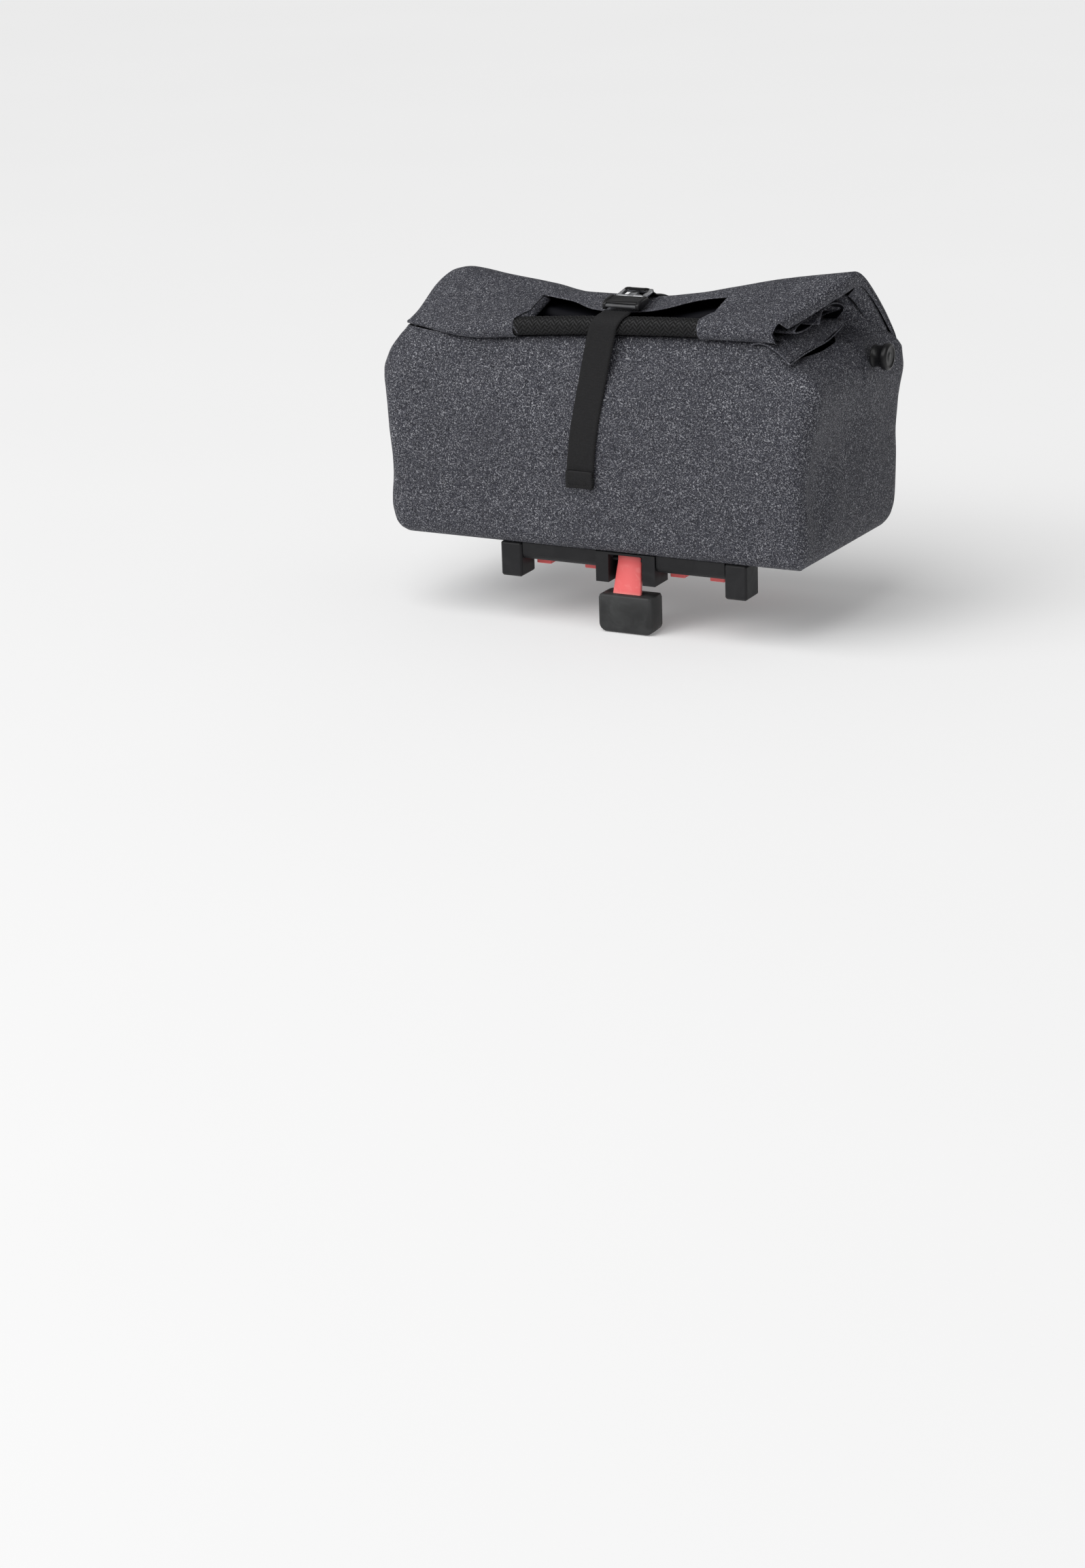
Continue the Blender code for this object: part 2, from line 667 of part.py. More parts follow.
def closure():
    """Ladder-lock buckle, its light bar, the metal hook and the loop it holds."""
    slots = [(STRAP_WIDTH + BUCKLE_SLOT_PLAY, first, last) for first, last in BUCKLE_SLOTS]
    slotted_plate("buckle_body", BUCKLE_WIDTH, BUCKLE_LENGTH, 0, BUCKLE_HEIGHT, slots, PLASTIC, 0)
    bar = extruded("buckle_bar", arc((0, BUCKLE_HEIGHT / 2), BUCKLE_BAR_RADIUS, 0, 360, 14)[:-1], "x",
                   -BUCKLE_WIDTH / 2, BUCKLE_WIDTH / 2, GREY_PLASTIC)
    on_closure(bar, -BUCKLE_LENGTH / 2 - BUCKLE_BAR_RADIUS - TOUCH)
    hook_middle = BUCKLE_LENGTH / 2 + TOUCH + HOOK_LENGTH / 2
    half = HOOK_LENGTH / 2
    slotted_plate("metal_hook", HOOK_WIDTH, HOOK_LENGTH, HOOK_LIFT, HOOK_LIFT + HOOK_THICKNESS,
                  ((HOOK_WIDTH - 2 * HOOK_BAR, half - HOOK_BAR - HOOK_EYE, half - HOOK_BAR),
                   (HOOK_WIDTH - 3 * HOOK_BAR, -half + HOOK_BAR, -HOOK_RIB)), METAL, hook_middle)
    radius = HOOK_THICKNESS / 2 + TOUCH
    centre = (-half, HOOK_LIFT + HOOK_THICKNESS / 2)
    outer = radius + STRAP_THICKNESS
    low = [(centre[0] + LOOP_LENGTH, centre[1] - radius), (centre[0] + LOOP_LENGTH, centre[1] - outer)]
    high = [(centre[0] + LOOP_LENGTH, centre[1] + outer), (centre[0] + LOOP_LENGTH, centre[1] + radius)]
    outline = low + arc(centre, outer, 270, 90, 8) + high + arc(centre, radius, 90, 270, 8)
    loop = extruded("top_loop", outline, "x", -LOOP_WIDTH / 2, LOOP_WIDTH / 2, WEBBING)
    on_closure(loop, hook_middle + 2 * half - HOOK_BAR)


def end_knob():
    """Mushroom knob on the rear end panel that side straps hook over."""
    z = FLOOR_Z + KNOB_HEIGHT
    panel_x = BAG_REAR_X - wall_inset(KNOB_HEIGHT, Vector((1, 0, 0)))
    profile = (
        (0.00, KNOB_FOOT_RADIUS), (0.17, KNOB_FOOT_RADIUS), (0.26, KNOB_WAIST_RADIUS),
        (0.51, KNOB_WAIST_RADIUS), (0.60, KNOB_HEAD_RADIUS), (0.89, KNOB_HEAD_RADIUS),
        (1.00, KNOB_HEAD_RADIUS - KNOB_DOME),
    )
    rings = []
    for share, radius in profile:
        x = panel_x + TOUCH + share * KNOB_REACH
        rings.append([Vector((x, y, up)) for y, up in arc((KNOB_Y, z), radius, 0, 360, 24)[:-1]])
    lofted("end_knob", rings, PLASTIC)


def corner_legs():
    """Four guide legs that stand outside the rack tubes."""
    middle_y = ADAPTER_WIDTH / 2 - LEG_DEPTH / 2
    for end, x in (("front", LEG_FRONT_X + LEG_LENGTH / 2), ("rear", LEG_REAR_X - LEG_LENGTH / 2)):
        for side, sign in (("near", -1), ("far", 1)):
            outline = box_outline(x - LEG_LENGTH / 2, x + LEG_LENGTH / 2,
                                  sign * middle_y - LEG_DEPTH / 2, sign * middle_y + LEG_DEPTH / 2)
            extruded(f"leg_{end}_{side}", outline, "z", -LEG_DROP, ADAPTER_TOP, PLASTIC, bevel=LEG_BEVEL)


def rail_outline(sign):
    """Cross-section of a side rail: a bar with a rounded lower outer edge."""
    face = ADAPTER_WIDTH / 2 - RAIL_SETBACK
    inner = face - RAIL_WIDTH
    lip = arc((face - RAIL_LIP_RADIUS, RAIL_BOTTOM + RAIL_LIP_RADIUS), RAIL_LIP_RADIUS, -90, 0, 5)
    outline = [(inner, ADAPTER_TOP), (inner, RAIL_BOTTOM)] + lip + [(face, ADAPTER_TOP)]
    return [(sign * y, z) for y, z in outline]


def rails():
    """Side rails between the legs, the near one parted by the lever housing."""
    first = LEG_FRONT_X + LEG_LENGTH + TOUCH
    last = LEG_REAR_X - LEG_LENGTH - TOUCH
    gap = HOUSING_WIDTH / 2 + TOUCH
    extruded("rail_near_front", rail_outline(-1), "x", first, HOUSING_X - gap, PLASTIC)
    extruded("rail_near_rear", rail_outline(-1), "x", HOUSING_X + gap, last, PLASTIC)
    extruded("rail_far", rail_outline(1), "x", first, last, PLASTIC)


def tube_pads():
    """Red pads under the rails that bear on the rack tubes."""
    for side, sign in (("near", -1), ("far", 1)):
        for index, x in enumerate(PAD_STATIONS):
            y = sign * TUBE_SPACING / 2
            outline = box_outline(x - PAD_LENGTH / 2, x + PAD_LENGTH / 2, y - PAD_WIDTH / 2, y + PAD_WIDTH / 2)
            extruded(f"pad_{side}_{index + 1}", outline, "z", 0, PAD_HEIGHT, RED_PLASTIC)


def base_plate():
    """Plate between the rails that the bag is screwed to."""
    half = ADAPTER_WIDTH / 2 - RAIL_SETBACK - RAIL_WIDTH - TOUCH
    outline = box_outline(LEG_FRONT_X, LEG_REAR_X + PLATE_OVERHANG, -half, half)
    extruded("base_plate", outline, "z", ADAPTER_TOP - PLATE_THICKNESS, ADAPTER_TOP, PLASTIC)


def lever_housing():
    """Housing of the release lever: two cheeks, a head bar and a back wall."""
    near = -ADAPTER_WIDTH / 2
    back = near + RAIL_SETBACK + RAIL_WIDTH
    low = -HOUSING_DROP
    outline = box_outline(HOUSING_X - HOUSING_WIDTH / 2, HOUSING_X + HOUSING_WIDTH / 2, near, near + HOUSING_DEPTH)
    housing = extruded("lever_housing", outline, "z", low, ADAPTER_TOP, PLASTIC)
    window = box_outline(HOUSING_X - WINDOW_WIDTH / 2, HOUSING_X + WINDOW_WIDTH / 2,
                         near - CUT_PAST, near + WINDOW_DEPTH)
    cut(housing, extruded("lever_window", window, "z", low - CUT_PAST, ADAPTER_TOP - WINDOW_HEAD, PLASTIC))
    reach = WINDOW_WIDTH / 2 + PIN_BITE + TOUCH
    bore = arc((PIN_Y, PIN_Z), PIN_RADIUS + PIN_RUNNING, 0, 360, 12)[:-1]
    cut(housing, extruded("pin_bore", bore, "x", HOUSING_X - reach, HOUSING_X + reach, PLASTIC))
    block = box_outline(HOUSING_X - HOUSING_WIDTH / 2, HOUSING_X + HOUSING_WIDTH / 2,
                        near + HOUSING_DEPTH + TOUCH, back)
    extruded("housing_bridge", block, "z", RAIL_BOTTOM, ADAPTER_TOP, PLASTIC)


def release_lever():
    """Red lever, its pin, and the grip that hooks under the near rack tube."""
    head_z = ADAPTER_TOP - WINDOW_HEAD - RUNNING
    head_y = PIN_Y - LEVER_THICKNESS / 2
    rows = ((head_z, LEVER_TOP_WIDTH, head_y), (PIN_Z, LEVER_TOP_WIDTH, head_y),
            (LEVER_FOOT_Z, LEVER_FOOT_WIDTH, head_y - LEVER_LEAN))
    rings = []
    for z, width, y in rows:
        rings.append([Vector((HOUSING_X + a * width / 2, y + b, z))
                      for a, b in ((-1, 0), (1, 0), (1, LEVER_THICKNESS), (-1, LEVER_THICKNESS))])
    lever = lofted("release_lever", rings, RED_PLASTIC)
    softened(lever, SMALL_BEVEL)
    bore = arc((PIN_Y, PIN_Z), PIN_RADIUS + PIN_RUNNING, 0, 360, 12)[:-1]
    across = WINDOW_WIDTH / 2
    cut(lever, extruded("lever_bore", bore, "x", HOUSING_X - across, HOUSING_X + across, RED_PLASTIC))
    pin = arc((PIN_Y, PIN_Z), PIN_RADIUS, 0, 360, 12)[:-1]
    reach = WINDOW_WIDTH / 2 + PIN_BITE - TOUCH
    extruded("lever_pin", pin, "x", HOUSING_X - reach, HOUSING_X + reach, METAL)
    top = LEVER_FOOT_Z - TOUCH
    half = GRIP_WIDTH / 2
    low = top - GRIP_HEIGHT
    outline = [(-half, top - GRIP_SHOULDER), (-half, low + GRIP_CORNER)]
    outline += arc((-half + GRIP_CORNER, low + GRIP_CORNER), GRIP_CORNER, 180, 270, 5)[1:]
    outline += arc((half - GRIP_CORNER, low + GRIP_CORNER), GRIP_CORNER, 270, 360, 5)
    outline += [(half, top - GRIP_SHOULDER), (half - GRIP_SHOULDER, top), (-half + GRIP_SHOULDER, top)]
    outline = [(HOUSING_X + x, z) for x, z in outline]
    extruded("grip_block", outline, "y", GRIP_Y, GRIP_Y + GRIP_DEPTH, PLASTIC, bevel=GRIP_BEVEL)


def main():
    """Clear the scene and build every piece."""
    for old in list(bpy.data.objects):
        bpy.data.objects.remove(old, do_unlink=True)
    corner_legs()
    rails()
    tube_pads()
    base_plate()
    lever_housing()
    release_lever()
    bag_body()
    rolled_flap()
    handle_braid()
    inner_roll()
    gusset_folds()
    front_strap()
    closure()
    end_knob()


main()
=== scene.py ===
"""Roll-top rack bag on its clamp-on rack adapter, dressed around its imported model.

Metres, +Z up. +X points to the rear of the bicycle and -Y to the side with the
strap and the release lever.
"""

import json
import logging
import math
from dataclasses import dataclass
from enum import Enum
from typing import Callable, Optional, Sequence

import bmesh
import bpy
from mathutils import Matrix, Vector, noise

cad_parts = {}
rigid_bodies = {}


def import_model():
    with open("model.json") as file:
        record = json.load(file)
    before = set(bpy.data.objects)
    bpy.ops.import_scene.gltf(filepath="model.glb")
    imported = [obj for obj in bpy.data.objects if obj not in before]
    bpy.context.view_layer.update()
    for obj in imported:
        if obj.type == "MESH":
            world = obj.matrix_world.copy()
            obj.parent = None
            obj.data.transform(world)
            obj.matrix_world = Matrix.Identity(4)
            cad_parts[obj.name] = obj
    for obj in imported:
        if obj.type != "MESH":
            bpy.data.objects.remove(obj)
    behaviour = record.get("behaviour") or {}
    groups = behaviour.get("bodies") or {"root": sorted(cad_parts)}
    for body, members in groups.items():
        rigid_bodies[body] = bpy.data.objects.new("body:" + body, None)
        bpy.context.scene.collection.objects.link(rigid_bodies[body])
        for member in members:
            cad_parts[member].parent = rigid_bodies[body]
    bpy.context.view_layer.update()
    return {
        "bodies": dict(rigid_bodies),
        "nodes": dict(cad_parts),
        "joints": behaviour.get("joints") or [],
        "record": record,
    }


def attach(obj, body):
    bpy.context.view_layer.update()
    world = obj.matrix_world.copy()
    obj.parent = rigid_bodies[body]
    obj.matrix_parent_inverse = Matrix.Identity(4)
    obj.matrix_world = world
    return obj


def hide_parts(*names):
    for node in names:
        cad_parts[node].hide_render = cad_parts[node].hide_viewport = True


LOG = logging.getLogger("rack_bag")
TOUCH = 0.0003
Grid = list[list[Vector]]
Faces = list[tuple[int, ...]]
Colour = tuple[float, float, float]
Table = tuple[tuple[float, ...], ...]
Socket = bpy.types.NodeSocket
Material = bpy.types.Material
Piece = bpy.types.Object


class Body(Enum):
    """Bodies of the model that pieces ride on."""

    BAG = "bag"
    LEVER = "lever"


class Slot(Enum):
    """Material slots of the part."""

    CLOTH = "cloth"
    BRAID = "braid"
    WEBBING = "webbing"
    BLACK = "black_plastic"
    GRIP = "grip_plastic"
    GREY = "grey_plastic"
    RED = "red_plastic"
    METAL = "hook_metal"


def lerp(low: float, high: float, share: float) -> float:
    """Value between low and high."""
    return low + (high - low) * share


def eased(value: float, low: float, high: float) -> float:
    """0 below low, 1 above high and a smooth step between them.

    Args:
        value: Value to ease.
        low: Where the step starts.
        high: Where it ends.

    Returns:
        A share from 0 to 1.
    """
    share = min(1.0, max(0.0, (value - low) / (high - low)))
    return share * share * (3 - 2 * share)


def looked_up(table: Sequence[tuple[float, ...]], key: float, column: int) -> float:
    """Value of a table's column at a key, on a smooth curve that never overshoots its rows.

    Args:
        table: Rows in rising order of their first value.
        key: Value to look up in the first column.
        column: Column to read.

    Returns:
        The value.
    """
    if key <= table[0][0]:
        return table[0][column]
    if key >= table[-1][0]:
        return table[-1][column]
    slopes = [(high[column] - low[column]) / (high[0] - low[0]) for low, high in zip(table, table[1:])]
    index = next(i for i in range(len(slopes)) if key <= table[i + 1][0])

    def bend(before: int, after: int) -> float:
        """Slope at the row between two spans."""
        first = slopes[max(before, 0)]
        second = slopes[min(after, len(slopes) - 1)]
        return 2 * first * second / (first + second) if first * second > 0 else 0.0

    low, high = table[index], table[index + 1]
    span = high[0] - low[0]
    t = (key - low[0]) / span
    start, end = bend(index - 1, index) * span, bend(index, index + 1) * span
    rise = high[column] - low[column]
    return low[column] + t * (start + t * (3 * rise - 2 * start - end + t * (start + end - 2 * rise)))


def along_path(path: Sequence[Sequence[float]], share: float) -> Vector:
    """Point of a polyline of evenly weighted points, smoothed between them.

    Args:
        path: Points, in two or three coordinates.
        share: Place along it, from 0 to 1.

    Returns:
        The point.
    """
    place = min(max(share, 0.0), 1.0) * (len(path) - 1)
    index = min(int(place), len(path) - 2)
    before = Vector(path[max(index - 1, 0)])
    start = Vector(path[index])
    end = Vector(path[index + 1])
    after = Vector(path[min(index + 2, len(path) - 1)])
    t = place - index
    bend = 2 * before - 5 * start + 4 * end - after
    cubic = 3 * start - before - 3 * end + after
    return 0.5 * (2 * start + (end - before) * t + bend * t * t + cubic * t * t * t)


class Shader:
    """One material and the nodes that give it its detail."""

    def __init__(self, name: str) -> None:
        """Start a material with a Principled shader."""
        self.material = bpy.data.materials.new(name)
        self.material.use_nodes = True
        self.tree = self.material.node_tree
        self.surface = self.tree.nodes["Principled BSDF"]

    def add(self, kind: str, values: Optional[dict] = None, **settings: object) -> bpy.types.Node:
        """Add a node.

        Args:
            kind: Type of the node without its ShaderNode prefix.
            values: Numbers for, or sockets to link to, its inputs.
            **settings: Properties of the node.

        Returns:
            The node.
        """
        node = self.tree.nodes.new("ShaderNode" + kind)
        for key, value in settings.items():
            setattr(node, key, value)
        for key, value in (values or {}).items():
            self.feed(node.inputs[key], value)
        return node

    def feed(self, socket: Socket, value: object) -> None:
        """Link a socket to an input, or set the input's number."""
        if isinstance(value, Socket):
            self.tree.links.new(value, socket)
        else:
            socket.default_value = value

    def place(self, stretch: Sequence[float] = (1, 1, 1), turn: float = 0.0,
              uv: bool = False) -> Socket:
        """Coordinates in metres on the piece, stretched and turned.

        Args:
            stretch: Factor along each axis.
            turn: Angle about z in radians.
            uv: Whether to use the cloth's own lengths instead of space.

        Returns:
            The socket of the coordinates.
        """
        source = self.add("TexCoord").outputs["UV" if uv else "Object"]
        mapped = self.add("Mapping", {"Vector": source, "Scale": tuple(stretch), "Rotation": (0, 0, turn)})
        return mapped.outputs["Vector"]

    def grain(self, place: Socket, scale: float, detail: float = 2.0, warp: float = 0.0) -> Socket:
        """Value of a noise whose features are about 1 / scale metres across.

        Args:
            place: Coordinates.
            scale: Features per metre.
            detail: Finer layers added.
            warp: Distortion.

        Returns:
            The noise's value.
        """
        values = {"Vector": place, "Scale": scale, "Detail": detail, "Distortion": warp}
        return self.add("TexNoise", values).outputs["Fac"]

    def math(self, kind: str, first: object, second: object = 0.0) -> Socket:
        """Result of one arithmetic step."""
        return self.add("Math", {0: first, 1: second}, operation=kind).outputs[0]

    def spread(self, value: Socket, low: float, high: float, to_low: float = 0.0,
               to_high: float = 1.0) -> Socket:
        """Value mapped smoothly from one range to another.

        Args:
            value: Value to map.
            low: Low end of its range.
            high: High end of its range.
            to_low: Result at the low end.
            to_high: Result at the high end.

        Returns:
            The mapped value.
        """
        values = {0: value, 1: low, 2: high, 3: to_low, 4: to_high}
        return self.add("MapRange", values, interpolation_type="SMOOTHSTEP").outputs[0]

    def blend(self, share: object, first: object, second: object) -> Socket:
        """Mix of two colours."""
        mix = self.add("Mix", data_type="RGBA")
        for index, value in ((0, share), (6, first), (7, second)):
            if isinstance(value, tuple):
                value = (*value, 1.0)
            self.feed(mix.inputs[index], value)
        return mix.outputs[2]

    def relief(self, height: Socket, strength: float, depth: float) -> None:
        """Bump the surface by a height."""
        bump = self.add("Bump", {"Height": height, "Strength": strength, "Distance": depth})
        self.feed(self.surface.inputs["Normal"], bump.outputs["Normal"])

    def finish(self, colour: object, roughness: object, **constants: float) -> Material:
        """Set the shader's colour, roughness and constant values.

        Args:
            colour: Colour or the socket of one.
            roughness: Roughness or the socket of one.
            **constants: Other inputs by name, with _ for a space.

        Returns:
            The finished material.
        """
        if isinstance(colour, tuple):
            colour = (*colour, 1.0)
        self.feed(self.surface.inputs["Base Color"], colour)
        self.feed(self.surface.inputs["Roughness"], roughness)
        for key, value in constants.items():
            self.surface.inputs[key.replace("_", " ")].default_value = value
        return self.material


@dataclass(frozen=True)
class MelangeCloth:
    """Matt coated cloth of dark yarns with short curved light flecks."""

    name: str = "melange_cloth"
    dark: Colour = (0.0120, 0.0121, 0.0170)
    yarn: Colour = (0.0600, 0.0615, 0.0760)
    fleck: Colour = (0.4300, 0.4330, 0.4650)
    yarn_scale: float = 1300.0
    fleck_scales: tuple[float, float] = (600.0, 760.0)
    fleck_width: float = 0.058
    roughness: float = 0.70
    relief: float = 0.35

    def curls(self, shader: Shader, stretch: Sequence[float], turn: float, scale: float) -> Socket:
        """Short curved lines where a noise crosses its middle and a second one is high.

        Args:
            shader: Material that they are part of.
            stretch: Stretch of the lines along each axis.
            turn: Angle of the lines about z.
            scale: Number of features to the metre.

        Returns:
            A value that is 1 on a fleck and 0 beside it.
        """
        place = shader.place(stretch, turn)
        away = shader.math("ABSOLUTE", shader.math("SUBTRACT", shader.grain(place, scale, 0.0), 0.5))
        line = shader.spread(away, self.fleck_width * 0.25, self.fleck_width, 1.0, 0.0)
        short = shader.spread(shader.grain(shader.place(), scale * 1.35, 0.0), 0.50, 0.62)
        return shader.math("MULTIPLY", line, short)

    def build(self) -> Material:
        """Make the material."""
        shader = Shader(self.name)
        first = self.curls(shader, (0.75, 0.85, 1.25), 0.15, self.fleck_scales[0])
        second = self.curls(shader, (1.20, 1.10, 0.75), -0.3, self.fleck_scales[1])
        flecks = shader.math("MAXIMUM", first, second)
        ground = shader.grain(shader.place(), self.yarn_scale, 1.5)
        cloudy = shader.grain(shader.place(), 24.0, 3.0)
        base = shader.blend(shader.spread(ground, 0.36, 0.64), self.dark, self.yarn)
        strength = shader.math("MULTIPLY", flecks, shader.spread(cloudy, 0.2, 0.8, 0.55, 0.85))
        colour = shader.blend(strength, base, self.fleck)
        # Lighter fold edges: partly wear, partly a painted highlight where the folds catch the light.
        edge_wear_and_highlight = shader.spread(shader.add("NewGeometry").outputs["Pointiness"], 0.53, 0.62, 0.0, 0.30)
        colour = shader.blend(edge_wear_and_highlight, colour, (0.20, 0.20, 0.225))
        height = shader.math("ADD", shader.math("MULTIPLY", flecks, 0.4), ground)
        shader.relief(height, self.relief, 0.00025)
        roughness = shader.spread(cloudy, 0.2, 0.8, self.roughness - 0.05, self.roughness + 0.06)
        return shader.finish(colour, roughness, Specular_IOR_Level=0.25)


@dataclass(frozen=True)
class CoatedLining:
    """Dark coated inner side of the cloth."""

    name: str = "coated_lining"
    colour: Colour = (0.0040, 0.0041, 0.0060)

    def build(self) -> Material:
        """Make the material."""
        shader = Shader(self.name)
        place = shader.place()
        weave = shader.grain(place, 1600.0, 1.0)
        cloudy = shader.grain(place, 60.0, 3.0)
        lighter = tuple(1.7 * part for part in self.colour)
        shader.relief(weave, 0.2, 0.0002)
        roughness = shader.spread(cloudy, 0.2, 0.8, 0.66, 0.80)
        return shader.finish(shader.blend(cloudy, self.colour, lighter), roughness, Specular_IOR_Level=0.12)


@dataclass(frozen=True)
class RibbedWebbing:
    """Woven webbing with a fine rib across it."""

    name: str = "ribbed_webbing"
    dark: Colour = (0.0030, 0.0030, 0.0034)
    light: Colour = (0.0250, 0.0246, 0.0262)
    pitch: float = 0.00105

    def build(self) -> Material:
        """Make the material."""
        shader = Shader(self.name)
        lengths = shader.place((1 / self.pitch, 1 / self.pitch, 1), uv=True)
        values = {
            "Vector": lengths, "Color1": (1, 1, 1, 1), "Color2": (0.75, 0.75, 0.75, 1),
            "Mortar": (0, 0, 0, 1), "Scale": 1.0, "Mortar Size": 0.16, "Mortar Smooth": 0.9,
            "Brick Width": 1.25, "Row Height": 0.85,
        }
        weave = shader.add("TexBrick", values).outputs["Color"]
        fuzz = shader.grain(shader.place(), 1400.0, 2.0)
        share = shader.math("MULTIPLY", weave, shader.spread(fuzz, 0.3, 0.7, 0.35, 1.0))
        colour = shader.blend(share, self.dark, self.light)
        shader.relief(weave, 0.5, 0.0003)
        return shader.finish(colour, shader.spread(fuzz, 0.3, 0.7, 0.55, 0.75), Specular_IOR_Level=0.22)


@dataclass(frozen=True)
class BraidSleeve:
    """Braided black yarn, whose strands are in the mesh, with painted shade in the grooves and a painted
    highlight on the crests.
    """

    name: str = "braid_sleeve"

    def build(self) -> Material:
        """Make the material."""
        shader = Shader(self.name)
        fibres = shader.grain(shader.place((0.35, 1.0, 1.0)), 3200.0, 2.0)
        crown = shader.add("Attribute", attribute_name="crown").outputs["Fac"]
        # Painted shade and highlight: darker in the grooves between strands, lighter on their crests.
        crest = shader.spread(crown, 0.30, 0.98)
        colour = shader.blend(crest, (0.0008, 0.0008, 0.0010), (0.0070, 0.0070, 0.0078))
        shader.relief(fibres, 0.3, 0.0002)
        roughness = shader.spread(crown, 0.4, 1.0, 0.85, 0.40)
        return shader.finish(colour, roughness, Specular_IOR_Level=0.30)


@dataclass(frozen=True)
class Moulding:
    """Moulded plastic with a fine grain, cloudy colour and edges lightened by a painted highlight and some
    wear.
    """

    name: str
    colour: Colour
    cloud: Colour
    # Colour of the edges: a painted highlight, with some wear.
    edge: Colour
    roughness: float
    cloud_scale: float = 60.0
    grain_scale: float = 2600.0
    grain_relief: float = 0.12
    cloud_low: float = 0.38
    cloud_high: float = 0.68
    edge_low: float = 0.535
    metallic: float = 0.0
    specular: float = 0.28

    def build(self) -> Material:
        """Make the material."""
        shader = Shader(self.name)
        place = shader.place()
        grain = shader.grain(place, self.grain_scale, 1.0)
        cloud = shader.grain(place, self.cloud_scale, 5.0, 1.2)
        colour = shader.blend(shader.spread(cloud, self.cloud_low, self.cloud_high), self.colour, self.cloud)
        # Edges are lightened towards the edge colour: a painted highlight, with some wear.
        pointed = shader.add("NewGeometry").outputs["Pointiness"]
        edge_wear_and_highlight = shader.spread(pointed, self.edge_low, self.edge_low + 0.1, 0.0, 0.7)
        colour = shader.blend(edge_wear_and_highlight, colour, self.edge)
        shader.relief(grain, self.grain_relief, 0.0002)
        roughness = shader.spread(cloud, 0.25, 0.75, self.roughness - 0.07, self.roughness + 0.08)
        return shader.finish(colour, roughness, Metallic=self.metallic, Specular_IOR_Level=self.specular)


@dataclass
class Finishes:
    """Every finish of the bag, made once."""

    def __post_init__(self) -> None:
        """Build the materials."""
        self.cloth = MelangeCloth().build()
        self.lining = CoatedLining().build()
        self.webbing = RibbedWebbing().build()
        self.braid = BraidSleeve().build()
        self.black = Moulding("black_moulding", (0.0105, 0.0105, 0.0117), (0.0160, 0.0160, 0.0172),
                              (0.050, 0.050, 0.054), 0.48, specular=0.24).build()
        self.buckle = Moulding("buckle_moulding", (0.0060, 0.0060, 0.0068), (0.0110, 0.0110, 0.0120),
                               (0.040, 0.040, 0.043), 0.34, specular=0.30).build()
        self.grip = Moulding("grip_moulding", (0.0230, 0.0235, 0.0240), (0.0400, 0.0412, 0.0415),
                             (0.110, 0.113, 0.114), 0.46, cloud_scale=70.0, cloud_high=0.75).build()
        self.grey = Moulding("grey_moulding", (0.052, 0.053, 0.056), (0.080, 0.082, 0.086),
                             (0.30, 0.30, 0.31), 0.30).build()
        self.red = Moulding("red_moulding", (0.860, 0.140, 0.142), (0.890, 0.195, 0.192),
                            (0.90, 0.30, 0.28), 0.42, cloud_scale=130.0, cloud_low=0.50,
                            cloud_high=0.70).build()
        self.metal = Moulding("cast_metal", (0.55, 0.56, 0.58), (0.70, 0.71, 0.73), (0.85, 0.85, 0.86), 0.34,
                              cloud_scale=400.0, metallic=1.0, specular=0.5).build()
        self.thread = Moulding("black_thread", (0.004, 0.004, 0.0045), (0.008, 0.008, 0.009),
                               (0.02, 0.02, 0.02), 0.7).build()


